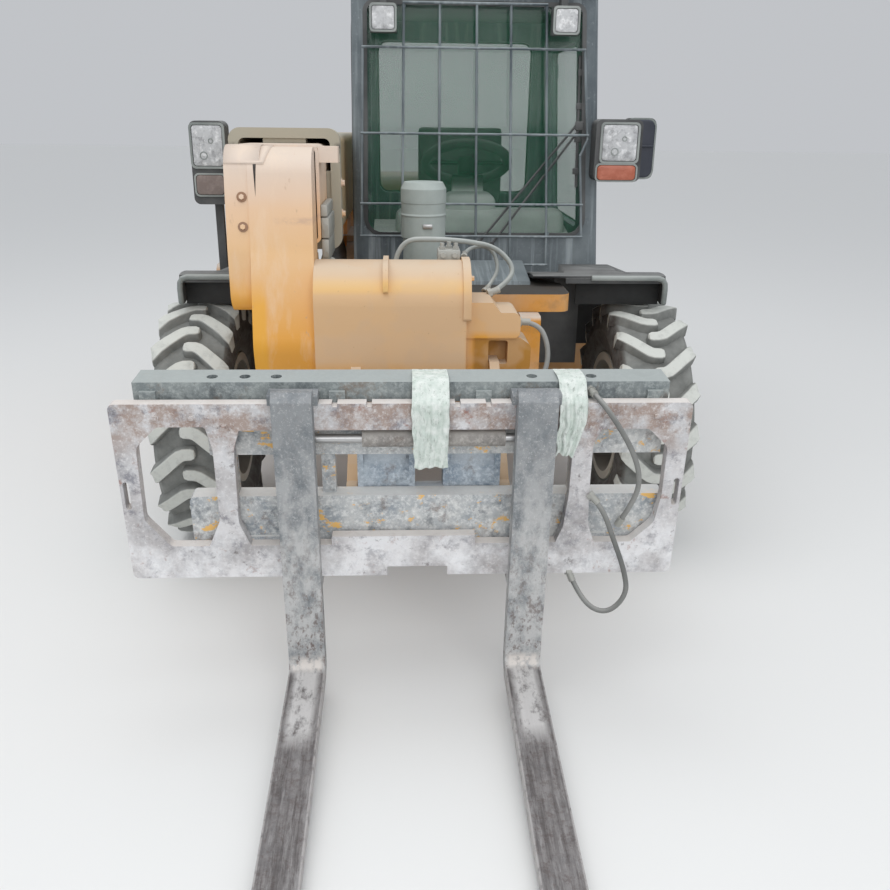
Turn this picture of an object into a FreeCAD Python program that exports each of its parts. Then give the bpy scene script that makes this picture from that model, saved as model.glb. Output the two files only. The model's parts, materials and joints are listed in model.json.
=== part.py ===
import FreeCAD, Part
import math
import os
from FreeCAD import Vector

# A compact telehandler with its boom on one side and its cab on the other.
# Millimetres. The front faces -Y, the cab is on the +X side, +Z is up.
# The tyres stand on z = 0 and the origin is under the middle of the machine.

os.makedirs("parts", exist_ok=True)

# Wheels and axles
WHEELBASE = 2170
FRONT_AXLE_Y = -265
REAR_AXLE_Y = FRONT_AXLE_Y + WHEELBASE
TYRE_RADIUS = 450
TYRE_WIDTH = 275
WHEEL_X = 822
RIM_RADIUS = 235
RIM_WIDTH = 230
FLANGE_HEIGHT = 17
LUG_COUNT = 18
TYRE_FLATS = 24
LUG_DEPTH = 30
LUG_OVERLAP = 22
SHOULDER_X = TYRE_WIDTH / 2
KINGPIN_X = 640
AXLE_Z = TYRE_RADIUS
AXLE_RADIUS = 70
AXLE_HALF = 565
KINGPIN_RADIUS = 28
STEER_ROD_RADIUS = 19
HUB_RADIUS = 62
PIN_FIT = 0.05
SEAT_GAP = 0.3
ARCH_RADIUS = 572
GUARD_WALL = 8
FRONT_GUARD_RADIUS = 552

# Chassis
RAIL_X = 320
RAIL_WIDTH = 70
RAIL_WALL = 14
DECK_TOP = 982
DECK_THICK = 61
BELLY_Z = 430
RAIL_LOW_Z = 575
FLOOR_Z = 620
FRAME_FRONT_Y = -600
FRAME_REAR_Y = 2330

# Boom
BOOM_PIVOT_Y = 2050
BOOM_PIVOT_Z = 1280
BOOM_SLOPE = 1.0
BOOM_X = -470
OUTER_WIDTH = 324
OUTER_HEIGHT = 350
OUTER_WALL = 12
OUTER_MOUTH_Y = -480
OUTER_TAIL_Y = 2150
INNER_WIDTH = 268
INNER_HEIGHT = 294
INNER_WALL = 10
INNER_TAIL_Y = 1500
BOOM_PIN_RADIUS = 35
LIFT_BASE = (1860, 760)
LIFT_EYE = (1200, 1040)

# Boom head and torsion beam
HEAD_FRONT_Y = -870
HEAD_TOP_Z = 1470
NECK_LEFT = -540
NECK_RIGHT = -349
TUBE_RIGHT = 108
TUBE_TOP_Z = 1147
TUBE_RADIUS = 120
TUBE_FRONT_Y = -955
SKIRT_LOW_Z = 800
ARM_X = 212
ARM_THICK = 30

# Carriage
HITCH_X = -15
TILT_Y = -1290
TILT_Z = 560
TILT_REST = 4.7
TILT_EYE = (-1300, 710)
TILT_BASE = (-700, 690)
TILT_PIN_RADIUS = 22
SHIFT_REST = -65
FRAME_WIDTH = 1464
FRAME_LOW_Z = 396
FRAME_HEIGHT = 508
BAR_BACK_Y = -1405
BAR_FRONT_Y = -1436
SHIFT_ROD_Y = -1412
SHIFT_ROD_Z = FRAME_LOW_Z + FRAME_HEIGHT - 106
LUG_X = (HITCH_X + SHIFT_REST - 315, HITCH_X + SHIFT_REST + 302)
FORK_THICK = 45
FORK_WIDTH = 100
FORK_LENGTH = 1070
FORK_TOP_Z = FRAME_LOW_Z + FRAME_HEIGHT + 40
BLADE_TOP_Z = 118
FORK_LEFT_X = -357
FORK_RIGHT_X = 250

# Cab
CAB_LEFT = -285
CAB_RIGHT = 740
CAB_FRONT_Y = 45
CAB_REAR_Y = 1280
CAB_LEAN = 80
CAB_TOP_Z = 1985
CAB_WALL = 42
CAB_CORNER = 50
GLASS = 6
ROOF_TOP_Z = CAB_TOP_Z + 75
DOOR_HINGE_Y = 1166
DOOR_HINGE_OUT = 14
DOOR_HINGE_Z = (1020, CAB_TOP_Z - 205)
COVER_HINGE_X = (-120, 280)
COVER_HINGE_Y = 2344
COVER_HINGE_Z = 1018
TOW_PIN_RADIUS = 16


def box(x0, x1, y0, y1, z0, z1):
    return Part.makeBox(x1 - x0, y1 - y0, z1 - z0, Vector(x0, y0, z0))


def rod_x(x0, x1, y, z, radius):
    return Part.makeCylinder(radius, x1 - x0, Vector(x0, y, z), Vector(1, 0, 0))


def rod_y(y0, y1, x, z, radius):
    return Part.makeCylinder(radius, y1 - y0, Vector(x, y0, z), Vector(0, 1, 0))


def rod_z(z0, z1, x, y, radius):
    return Part.makeCylinder(radius, z1 - z0, Vector(x, y, z0), Vector(0, 0, 1))


def rod_between(start, end, radius):
    direction = end - start
    return Part.makeCylinder(radius, direction.Length, start, direction)


def outline(corners, place):
    """Closed wire through corners (a, b, radius), each rounded by its radius."""
    arcs = []
    for index in range(len(corners)):
        before = place(*corners[index - 1][:2])
        here = place(*corners[index][:2])
        after = place(*corners[(index + 1) % len(corners)][:2])
        radius = corners[index][2] if len(corners[index]) > 2 else 0
        if radius <= 0:
            arcs.append((here, None, here))
            continue
        to_before = (before - here).normalize()
        to_after = (after - here).normalize()
        half = to_before.getAngle(to_after) / 2
        bisector = (to_before + to_after).normalize()
        reach = radius / math.tan(half)
        middle = here + bisector * (radius / math.sin(half) - radius)
        arcs.append((here + to_before * reach, middle, here + to_after * reach))
    edges = []
    for index in range(len(arcs)):
        start, middle, end = arcs[index]
        if middle is not None:
            edges.append(Part.Arc(start, middle, end).toShape())
        following = arcs[(index + 1) % len(arcs)][0]
        if (following - end).Length > 1e-6:
            edges.append(Part.LineSegment(end, following).toShape())
    return Part.Wire(edges)


def side_plate(corners, x0, x1):
    """A profile of corners (y, z, radius) that runs from x0 to x1."""
    wire = outline(corners, lambda y, z: Vector(x0, y, z))
    return Part.Face(wire).extrude(Vector(x1 - x0, 0, 0))


def front_plate(corners, y0, y1):
    """A profile of corners (x, z, radius) that runs from y0 to y1."""
    wire = outline(corners, lambda x, z: Vector(x, y0, z))
    return Part.Face(wire).extrude(Vector(0, y1 - y0, 0))


def floor_plate(corners, z0, z1):
    """A profile of corners (x, y, radius) that runs from z0 to z1."""
    wire = outline(corners, lambda x, y: Vector(x, y, z0))
    return Part.Face(wire).extrude(Vector(0, 0, z1 - z0))


def flat_block(first, second):
    """A solid with flat faces between two loops of as many points."""
    faces = [Part.Face(Part.makePolygon(loop + [loop[0]])) for loop in (first, second)]
    for index in range(len(first)):
        side = [first[index - 1], first[index], second[index], second[index - 1]]
        faces.append(Part.Face(Part.makePolygon(side + [side[0]])))
    solid = Part.makeSolid(Part.makeShell(faces))
    return solid if solid.Volume > 0 else solid.reversed()


def square(a0, a1, b0, b1, radius=0):
    return [(a0, b0, radius), (a1, b0, radius), (a1, b1, radius), (a0, b1, radius)]


def turned(profile, x, y, z):
    """A solid of revolution about the X direction, from points (x offset, radius)."""
    points = [Vector(x + along, y, z + radius) for along, radius in profile]
    wire = Part.makePolygon(points + [points[0]])
    return Part.Face(wire).revolve(Vector(x, y, z), Vector(1, 0, 0), 360)


def turned_z(profile, x, y):
    """A solid of revolution about a vertical line, from points (radius, z)."""
    points = [Vector(x + radius, y, z) for radius, z in profile]
    wire = Part.makePolygon(points + [points[0]])
    return Part.Face(wire).revolve(Vector(x, y, 0), Vector(0, 0, 1), 360)


def joined(pieces):
    whole = pieces[0].multiFuse(pieces[1:]) if len(pieces) > 1 else pieces[0]
    return whole.removeSplitter()


def mirrored(shape):
    return shape.mirror(Vector(0, 0, 0), Vector(1, 0, 0))


def moved(shape, x=0, y=0, z=0):
    copy = shape.copy()
    copy.translate(Vector(x, y, z))
    return copy


def boom_slope(shape):
    """Lifts what is drawn level to the boom's own slope at rest."""
    copy = shape.copy()
    copy.rotate(Vector(0, BOOM_PIVOT_Y, BOOM_PIVOT_Z), Vector(-1, 0, 0), BOOM_SLOPE)
    return copy


def carriage_lean(shape):
    """Leans what is drawn upright forward to the carriage's angle at rest."""
    copy = shape.copy()
    copy.rotate(Vector(0, TILT_Y, TILT_Z), Vector(1, 0, 0), TILT_REST)
    return copy


def save(name, shape):
    solids = shape.Solids
    result = solids[0] if len(solids) == 1 else Part.makeCompound(solids)
    result.exportStep("parts/" + name + ".step")


# Wheels

def ring_of_flats(profile, count):
    """A ring about the X axis with flat sides, from a profile of (x, radius)."""
    half = math.pi / count
    ends = []
    for angle in (-half, half):
        points = [Vector(x, r / math.cos(half) * math.sin(angle), r / math.cos(half) * math.cos(angle))
                  for x, r in profile]
        ends.append(points)
    slice_ = flat_block(ends[0], ends[1])
    slices = []
    for index in range(count):
        copy = slice_.copy()
        copy.rotate(Vector(0, 0, 0), Vector(1, 0, 0), 360.0 * index / count)
        slices.append(copy)
    return slices


def tread_lug(way):
    """One lug at the top of the wheel, bent once, from past the middle to the shoulder."""
    # x across the tread and y round it, evenly about the lug's own middle
    plan = [(-LUG_OVERLAP, 46), (-LUG_OVERLAP, 72), (32, 72), (SHOULDER_X, -12), (SHOULDER_X, -70), (22, 22)]
    low, high = TYRE_RADIUS - LUG_DEPTH - 14, TYRE_RADIUS - 5.5
    lug = floor_plate([(way * x, y) for x, y in plan], low, high)
    shoulder = front_plate([(SHOULDER_X - 26, high + 1), (SHOULDER_X + 1, high + 1), (SHOULDER_X + 1, high - 24)],
                           -200, 200)
    return lug.cut(shoulder if way > 0 else mirrored(shoulder))


def tyre():
    """A tyre about the X axis, with bent lugs in two staggered rows."""
    bead = RIM_WIDTH / 2 - 10 - SEAT_GAP
    edge = SHOULDER_X - 12
    low = TYRE_RADIUS - LUG_DEPTH - 8
    profile = [(-bead, RIM_RADIUS + SEAT_GAP), (bead, RIM_RADIUS + SEAT_GAP),
               (bead, RIM_RADIUS + FLANGE_HEIGHT + 6), (SHOULDER_X, TYRE_RADIUS - 105), (edge, low),
               (-edge, low), (-SHOULDER_X, TYRE_RADIUS - 105), (-bead, RIM_RADIUS + FLANGE_HEIGHT + 6)]
    pieces = ring_of_flats(profile, TYRE_FLATS)
    for way, lead in ((1, 0.25), (-1, 0.75)):
        lug = tread_lug(way)
        for index in range(LUG_COUNT):
            copy = lug.copy()
            copy.rotate(Vector(0, 0, 0), Vector(1, 0, 0), 360.0 * (index + lead) / LUG_COUNT)
            pieces.append(copy)
    return pieces[0].multiFuse(pieces[1:]).removeSplitter()


def rim(y):
    """The rim on the cab side, its disc dished outwards."""
    half = RIM_WIDTH / 2
    lip = RIM_RADIUS + FLANGE_HEIGHT
    wall = 13
    profile = [(-half, RIM_RADIUS - wall), (-half, lip), (10 - half, lip), (10 - half, RIM_RADIUS),
               (half - 10, RIM_RADIUS), (half - 10, lip), (half, lip), (half, RIM_RADIUS - wall),
               (48, RIM_RADIUS - wall), (48, 190), (66, 150), (66, HUB_RADIUS + PIN_FIT),
               (50, HUB_RADIUS + PIN_FIT), (50, 145), (32, 184), (32, RIM_RADIUS - wall)]
    return turned(profile, WHEEL_X, y, AXLE_Z)


def knuckle(side, y, arm_way):
    """Side is 1 on the cab side, and arm_way points the steering arm along Y."""
    eye = KINGPIN_X
    flange = WHEEL_X + 36
    body = rod_x(eye - 30, flange - 30, y, AXLE_Z, 105)
    drum = rod_x(flange - 30, flange, y, AXLE_Z, 128)
    hub = rod_x(flange, WHEEL_X + 96, y, AXLE_Z, HUB_RADIUS)
    pocket = box(eye - 60, eye + 56, y - 130, y + 130, AXLE_Z - 86, AXLE_Z + 86)
    upper = rod_z(AXLE_Z + 86, AXLE_Z + 116, eye, y, 52)
    lower = rod_z(AXLE_Z - 116, AXLE_Z - 86, eye, y, 52)
    bridge = box(eye, eye + 84, y - 52, y + 52, AXLE_Z - 116, AXLE_Z + 116)
    arm_y0 = min(y, y + arm_way * 150)
    arm_y1 = max(y, y + arm_way * 150)
    arm = box(eye - 22, eye + 22, arm_y0, arm_y1, AXLE_Z - 116, AXLE_Z - 92)
    ball = rod_z(AXLE_Z - 116, AXLE_Z - 92, eye, y + arm_way * 150, 26)
    pins = rod_z(AXLE_Z - 116, AXLE_Z - 66, eye, y, KINGPIN_RADIUS)
    pins = pins.fuse(rod_z(AXLE_Z + 66, AXLE_Z + 116, eye, y, KINGPIN_RADIUS))
    shape = joined([body.fuse(bridge).cut(pocket), drum, hub, upper, lower, arm, ball, pins])
    return shape if side > 0 else mirrored(shape)


def axle(y, arm_way):
    beam = rod_x(-AXLE_HALF, AXLE_HALF, y, AXLE_Z, AXLE_RADIUS)
    bulge = turned([(-150, 60), (-95, 140), (95, 140), (150, 60)], 0, y, AXLE_Z)
    bulge = bulge.fuse(rod_x(-151, 151, y, AXLE_Z, 61))
    pieces = [beam, bulge]
    for side in (1, -1):
        end = box(AXLE_HALF - 5, KINGPIN_X, y - 44, y + 44, AXLE_Z - 62, AXLE_Z + 62)
        end = end.fuse(rod_z(AXLE_Z - 80, AXLE_Z + 80, KINGPIN_X, y, 44))
        end = end.cut(rod_z(AXLE_Z - 81, AXLE_Z + 81, KINGPIN_X, y, KINGPIN_RADIUS + PIN_FIT))
        pieces.append(end if side > 0 else mirrored(end))
    for x in (-230, 230):
        pieces.append(box(x - 60, x + 60, y - 70, y + 70, AXLE_Z, RAIL_LOW_Z - SEAT_GAP))
    barrel_y = y + arm_way * 150
    pieces.append(rod_x(-170, 170, barrel_y, AXLE_Z - 66, 34))
    near, far = sorted((y, barrel_y))
    for x in (-120, 120):
        pieces.append(box(x - 14, x + 14, near, far, AXLE_Z - 84, AXLE_Z - 40))
    whole = joined(pieces)
    return whole.cut(rod_x(-171, 171, barrel_y, AXLE_Z - 66, STEER_ROD_RADIUS + PIN_FIT))


def steering_rod(y, arm_way):
    rod_y_place = y + arm_way * 150
    rod = rod_x(-KINGPIN_X + 20, KINGPIN_X - 20, rod_y_place, AXLE_Z - 66, STEER_ROD_RADIUS)
    pieces = [rod]
    for x in (-KINGPIN_X, KINGPIN_X):
        pieces.append(rod_z(AXLE_Z - 84, AXLE_Z - 56, x, rod_y_place, 27))
    return joined(pieces)


# Chassis

def chassis_frame():
    rail_corners = [(FRAME_FRONT_Y, RAIL_LOW_Z, 30), (FRAME_FRONT_Y, DECK_TOP - DECK_THICK, 20),
                    (-60, DECK_TOP - DECK_THICK, 40), (70, 760, 60), (290, 608, 60), (1290, 608, 60),
                    (1420, 900, 60), (FRAME_REAR_Y, 900, 30), (FRAME_REAR_Y, 600, 30),
                    (1690, RAIL_LOW_Z, 60), (1500, BELLY_Z, 60), (180, BELLY_Z, 60),
                    (-20, RAIL_LOW_Z, 60)]
    pieces = []
    for x0 in (-RAIL_X - RAIL_WIDTH, RAIL_X):
        pieces.append(side_plate(rail_corners, x0, x0 + RAIL_WIDTH))
    inner = RAIL_X + 1
    pieces.append(box(-inner, inner, FRAME_FRONT_Y, FRAME_FRONT_Y + 20, RAIL_LOW_Z + 30, 900))
    pieces.append(box(-inner, inner, FRAME_REAR_Y - 20, FRAME_REAR_Y, 630, 870))
    pieces.append(box(-inner, inner, 300, 1400, BELLY_Z + 4, BELLY_Z + 16))
    for y in (FRONT_AXLE_Y, REAR_AXLE_Y):
        pieces.append(box(-inner, inner, y - 80, y + 80, RAIL_LOW_Z + 25, RAIL_LOW_Z + 60))
        for x in (-230, 230):
            pieces.append(box(x - 60, x + 60, y - 70, y + 70, RAIL_LOW_Z, RAIL_LOW_Z + 26))
    deck = floor_plate([(-390, -520, 10), (503, -520, 40), (503, -300, 40), (390, -180, 20),
                        (390, -60, 10), (-390, -60, 10)], DECK_TOP - DECK_THICK, DECK_TOP)
    pieces.append(deck)
    sill = box(-389, 389, 1425, 2325, 899, 930 - SEAT_GAP)
    pieces.append(sill.cut(box(-200, 310, 1460, 2260, 880, 940)))
    for y in (400, 1150):
        pieces.append(box(-inner, inner, y - 40, y + 40, 560, 608))
        for x in (-240, 355):
            pieces.append(rod_z(600, FLOOR_Z - SEAT_GAP, x, y, 32))
    pieces.append(box(350, RAIL_X + RAIL_WIDTH, REAR_AXLE_Y - 120, REAR_AXLE_Y + 120, 890, 1024))
    return joined(pieces)


def boom_tower():
    """Carries the boom's pivot above the rear wheel and the lift cylinder's foot."""
    deck = box(BOOM_X - 230, -260, 1830, 2270, 1040, 1070)
    post = box(-390, -260, 1860, 2240, 900, 1041)
    pieces = [deck, post]
    outer_face = OUTER_WIDTH / 2 + 11
    for x0, x1 in ((BOOM_X - outer_face - 22, BOOM_X - outer_face), (BOOM_X + outer_face, -275)):
        plate = side_plate([(1840, 1060), (1960, 1370, 60), (2140, 1370, 60), (2260, 1060)], x0, x1)
        pieces.append(plate)
    pieces.append(rod_x(BOOM_X - outer_face - 30, -267, BOOM_PIVOT_Y, BOOM_PIVOT_Z, BOOM_PIN_RADIUS))
    foot_y, foot_z = LIFT_BASE
    for x0 in (BOOM_X - 78, BOOM_X + 58):
        pieces.append(side_plate([(foot_y - 60, foot_z - 60, 40), (foot_y - 60, foot_z + 60, 40),
                                  (1960, 1045), (2040, 1045), (2040, 800), (1960, 680, 40)],
                                 x0, x0 + 20))
    pieces.append(box(BOOM_X - 78, -389, 1960, 2040, 800, 860))
    pieces.append(rod_x(BOOM_X - 84, BOOM_X + 78, foot_y, foot_z, 28))
    return joined(pieces)


DECK_CORNER = box(380, 503 + SEAT_GAP, -521, -160, 900, DECK_TOP + SEAT_GAP)


def arch_shell(x0, x1, axle_y, radius, first, last):
    """A shell round a wheel, from one angle to another, from straight up towards the rear."""
    shell = rod_x(x0, x1, axle_y, AXLE_Z, radius)
    shell = shell.cut(rod_x(x0 - 1, x1 + 1, axle_y, AXLE_Z, radius - GUARD_WALL))
    wedge = [(axle_y, AXLE_Z)]
    for angle in (first, (first + last) / 2, last):
        radians = math.radians(angle)
        wedge.append((axle_y + 900 * math.sin(radians), AXLE_Z + 900 * math.cos(radians)))
    return shell.common(side_plate(wedge, x0 - 1, x1 + 1))


def front_guard():
    """The left front guard: a low shell over the wheel, a wider one behind it and a raised crown."""
    near = RAIL_X + RAIL_WIDTH + SEAT_GAP
    over = arch_shell(near, 945, FRONT_AXLE_Y, FRONT_GUARD_RADIUS, -11, 27)
    behind = arch_shell(742, 945, FRONT_AXLE_Y, ARCH_RADIUS + GUARD_WALL, 26, 74)
    web = rod_x(742, 945, FRONT_AXLE_Y, AXLE_Z, ARCH_RADIUS + GUARD_WALL)
    web = web.cut(rod_x(741, 946, FRONT_AXLE_Y, AXLE_Z, FRONT_GUARD_RADIUS - GUARD_WALL))
    wedge = [(FRONT_AXLE_Y, AXLE_Z)]
    for angle in (26, 27):
        radians = math.radians(angle)
        wedge.append((FRONT_AXLE_Y + 900 * math.sin(radians), AXLE_Z + 900 * math.cos(radians)))
    web = web.common(side_plate(wedge, 741, 946))
    crown = front_plate([(near + 120, 994), (near + 120, 1036), (700, 1036, 20), (778, 994)],
                        FRONT_AXLE_Y - 65, FRONT_AXLE_Y + 65)
    lip = box(near + 120, 945, FRONT_AXLE_Y - 108, FRONT_AXLE_Y - 100, 966, 985)
    hanger = box(near, near + 8, FRONT_AXLE_Y - 90, FRONT_AXLE_Y + 160, 870, 990)
    inside = rod_x(0, 950, FRONT_AXLE_Y, AXLE_Z, FRONT_GUARD_RADIUS - 4)
    panel = box(near, 604, FRONT_AXLE_Y + 100, FRONT_AXLE_Y + 108, 640, 990)
    return joined([over, behind, web, crown, lip, hanger.common(inside), panel.common(inside)]).cut(DECK_CORNER)


def rear_guard(edge):
    shell = arch_shell(edge, 868, REAR_AXLE_Y, ARCH_RADIUS + GUARD_WALL, -42, 40)
    return shell


def mudguards():
    """Four guards round the wheels, each carried by the chassis beside it."""
    near = RAIL_X + RAIL_WIDTH + SEAT_GAP
    radius = ARCH_RADIUS + GUARD_WALL
    hanger = box(near, near + 8, REAR_AXLE_Y - 330, REAR_AXLE_Y + 330, 700, 1040)
    hanger = hanger.common(rod_x(0, 900, REAR_AXLE_Y, AXLE_Z, radius))
    foot = box(600, 690, REAR_AXLE_Y - 20, REAR_AXLE_Y + 20, 1022, 1040 - SEAT_GAP)
    shells = [front_guard(), mirrored(front_guard()), joined([rear_guard(near), hanger]),
              mirrored(joined([rear_guard(565), foot]))]
    return Part.makeCompound(shells)


def counterweight():
    near = FRAME_REAR_Y + SEAT_GAP
    # cut back towards the frame, where the steered rear wheels swing past it
    body = floor_plate([(-465, near, 10), (-610, 2416, 20), (-590, 2470, 60), (-500, 2515, 90),
                        (500, 2515, 90), (590, 2470, 60), (610, 2416, 20), (465, near, 10)], 560, 1000)
    ears = []
    for x in COVER_HINGE_X:
        ears.append(box(x + 22, x + 34, near, near + 24, 990, COVER_HINGE_Z + 14))
        ears.append(rod_x(x - 22, x + 30, COVER_HINGE_Y, COVER_HINGE_Z, 7))
    jaw = [box(-70, 70, 2440, 2510, z, z + 24) for z in (470, 540)]
    jaw.append(box(-70, 70, 2400, 2440, 470, 565))
    whole = joined([body] + ears + jaw).cut(box(-60, 60, 2430, 2530, 564, 1001))
    for x0, x1 in ((400, 476), (-476, -400)):
        whole = whole.cut(front_plate(square(x0, x1, 846, 934, 6), 2495, 2516))
    return whole.cut(rod_z(460, 565, 0, 2475, TOW_PIN_RADIUS))


def engine_block():
    block = box(-180, 290, 1480, 2240, 640, 1080)
    feet = [box(SEAT_GAP - RAIL_X, RAIL_X - SEAT_GAP, y - 30, y + 30, 660, 700) for y in (1560, 2160)]
    return joined([block] + feet)


def side_tank():
    body = side_plate([(400, 520, 40), (400, 930, 40), (1340, 930, 40), (1340, 520, 40)], -905, -600)
    bracket = box(-601, -390 - SEAT_GAP, 520, 600, 560, 600)
    bracket2 = box(-601, -390 - SEAT_GAP, 1140, 1220, 560, 600)
    return joined([body, bracket, bracket2])


def cab_step():
    body = side_plate([(430, 400, 20), (430, 600, 20), (1180, 600, 20), (1180, 400, 20)], 400, 860)
    notch = box(700, 861, 560, 1050, 440, 601)
    link = box(389 + SEAT_GAP + 1, 401, 500, 1100, 450, 560)
    return joined([body.cut(notch), link])


def filter_canister():
    profile = [(0, DECK_TOP + SEAT_GAP), (86, DECK_TOP + SEAT_GAP), (86, 1010), (72, 1020),
               (72, 1150), (78, 1156), (78, 1228), (81, 1234), (78, 1240), (78, 1272), (80, 1276),
               (80, 1322), (68, 1344), (0, 1344)]
    return turned_z(profile, -8, -350)


# Cab

def cab_width_at(z):
    """Left and right faces of the cab at height z; the right side leans in."""
    share = (z - FLOOR_Z) / (CAB_TOP_Z - FLOOR_Z)
    return CAB_LEFT + 15 * share, CAB_RIGHT - CAB_LEAN * share


def cab_front_at(z):
    return CAB_FRONT_Y + 25 * (z - 930) / (CAB_TOP_Z - 930)


def cab_block(inset, low_z, top_z, arch):
    """The cab's outside as two crossed profiles, less the arch of the front wheel."""
    low_left, low_right = cab_width_at(low_z)
    top_left, top_right = cab_width_at(top_z)
    lean = 60 / (CAB_TOP_Z - FLOOR_Z)
    low_back = CAB_REAR_Y - inset - lean * (low_z - FLOOR_Z)
    top_back = CAB_REAR_Y - inset - lean * (top_z - FLOOR_Z)
    across = front_plate([(low_left + inset, low_z), (low_right - inset, low_z),
                          (top_right - inset, top_z), (top_left + inset, top_z)], -500, 2000)
    along = side_plate([(cab_front_at(low_z) + inset, low_z), (low_back, low_z),
                        (top_back, top_z), (cab_front_at(top_z) + inset, top_z)], -1000, 1000)
    block = across.common(along)
    uprights = [edge for edge in block.Edges if edge.BoundBox.ZLength > 500]
    block = block.makeFillet(CAB_CORNER, uprights)
    return block.cut(rod_x(-1000, 1000, FRONT_AXLE_Y, AXLE_Z, arch))


def door_hinge_turn(shape):
    """Tips an upright hinge piece to the lean of the cab's side wall."""
    lean = math.degrees(math.atan(CAB_LEAN / (CAB_TOP_Z - FLOOR_Z)))
    copy = shape.copy()
    copy.rotate(Vector(CAB_RIGHT, 0, FLOOR_Z), Vector(0, -1, 0), lean)
    return copy


def cab_frame():
    shell = cab_block(0, FLOOR_Z, CAB_TOP_Z, ARCH_RADIUS)
    room = cab_block(CAB_WALL, FLOOR_Z + 40, CAB_TOP_Z + 1, ARCH_RADIUS + 40)
    shell = shell.cut(room)
    windscreen = front_plate([(-225, 1115, 60), (645, 1115, 60), (600, CAB_TOP_Z - 35, 30),
                              (-215, CAB_TOP_Z - 35, 30)],
                             CAB_FRONT_Y - 60, CAB_FRONT_Y + 110)
    rear = front_plate(square(-200, 570, 1180, CAB_TOP_Z - 85, 50), CAB_REAR_Y - 140, CAB_REAR_Y + 40)
    left = side_plate([(160, 1150, 60), (1120, 1150, 60), (1090, CAB_TOP_Z - 85, 60), (180, CAB_TOP_Z - 85, 60)],
                      CAB_LEFT - 40, CAB_LEFT + 90)
    doorway = side_plate(door_corners(0), 560, 800)
    shell = shell.cut(windscreen).cut(rear).cut(left).cut(doorway)
    axis_x = CAB_RIGHT + DOOR_HINGE_OUT
    for z in DOOR_HINGE_Z:
        lug = box(CAB_RIGHT - 12, axis_x, DOOR_HINGE_Y + 4, DOOR_HINGE_Y + 34, z - 44, z - 20)
        lug = lug.fuse(rod_z(z - 44, z - 20, axis_x, DOOR_HINGE_Y, 12))
        lug = lug.fuse(box(axis_x - 10, axis_x, DOOR_HINGE_Y, DOOR_HINGE_Y + 20, z - 44, z - 20))
        lug = lug.fuse(rod_z(z - 44, z + 20, axis_x, DOOR_HINGE_Y, 6))
        shell = shell.fuse(door_hinge_turn(lug))
    return shell


def door_corners(inset):
    """Outline of the doorway or, with an inset, of the door."""
    return [(380 + inset, 700 + inset, 40), (330 + inset, 1000, 60), (230 + inset, 1080, 60),
            (240 + inset, CAB_TOP_Z - 65 - inset, 60), (1130 - inset, CAB_TOP_Z - 65 - inset, 60),
            (1160 - inset, 700 + inset, 40)]


def door_slab(inset, outer, thickness):
    """A slice of the cab's leaning side wall."""
    slab = cab_block(-outer, FLOOR_Z, CAB_TOP_Z, 1).cut(cab_block(thickness - outer, FLOOR_Z - 1, CAB_TOP_Z + 1, 1))
    return slab.common(side_plate(door_corners(inset), 560, 800))


def cab_door():
    door = door_slab(8, 0, CAB_WALL)
    window = side_plate([(330, 1110, 50), (1090, 1110, 50), (1070, CAB_TOP_Z - 135, 50),
                         (320, CAB_TOP_Z - 135, 50)], 560, 800)
    door = door.cut(window)
    axis_x = CAB_RIGHT + DOOR_HINGE_OUT
    for z in DOOR_HINGE_Z:
        eye = rod_z(z - 18, z + 18, axis_x, DOOR_HINGE_Y, 12)
        eye = eye.fuse(box(CAB_RIGHT + 2, axis_x, DOOR_HINGE_Y - 64, DOOR_HINGE_Y, z - 18, z + 18))
        eye = eye.fuse(box(CAB_RIGHT - 6, CAB_RIGHT + 3, DOOR_HINGE_Y - 64, DOOR_HINGE_Y - 46, z - 18, z + 18))
        eye = eye.cut(rod_z(z - 19, z + 19, axis_x, DOOR_HINGE_Y, 6 + PIN_FIT))
        door = door.fuse(door_hinge_turn(eye))
    return door


def door_glass():
    slab = door_slab(8, -17, GLASS)
    high = CAB_TOP_Z - 135.5
    window = side_plate([(330.5, 1110.5, 50), (1089.5, 1110.5, 50), (1069.5, high, 50), (320.5, high, 50)],
                        560, 800)
    return slab.common(window)


def cab_glass():
    slab = cab_block(17, FLOOR_Z, CAB_TOP_Z, 1).cut(cab_block(17 + GLASS, FLOOR_Z - 1, CAB_TOP_Z + 1, 1))
    high = CAB_TOP_Z - 35.5
    front = front_plate([(-224.5, 1115.5, 60), (644.5, 1115.5, 60), (599.5, high, 30), (-214.5, high, 30)],
                        CAB_FRONT_Y - 60, CAB_FRONT_Y + 110)
    high = CAB_TOP_Z - 85.5
    rear = front_plate(square(-199.5, 569.5, 1180.5, high, 50), CAB_REAR_Y - 140, CAB_REAR_Y + 40)
    left = side_plate([(160.5, 1150.5, 60), (1119.5, 1150.5, 60), (1089.5, high, 60), (180.5, high, 60)],
                      CAB_LEFT - 40, CAB_LEFT + 90)
    return Part.makeCompound([slab.common(front), slab.common(rear), slab.common(left)])


def cab_roof():
    left, right = cab_width_at(CAB_TOP_Z)
    low = outline([(left - 5, 50, 60), (right + 5, 50, 60), (right + 5, 1250, 60), (left - 5, 1250, 60)],
                  lambda x, y: Vector(x, y, CAB_TOP_Z + SEAT_GAP))
    mid = outline([(left - 5, 50, 60), (right + 5, 50, 60), (right + 5, 1250, 60), (left - 5, 1250, 60)],
                  lambda x, y: Vector(x, y, CAB_TOP_Z + 30))
    top = outline([(left + 60, 130, 60), (right - 60, 130, 60), (right - 60, 1170, 60), (left + 60, 1170, 60)],
                  lambda x, y: Vector(x, y, ROOF_TOP_Z))
    return Part.makeLoft([low, mid, top], True, True)


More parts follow.
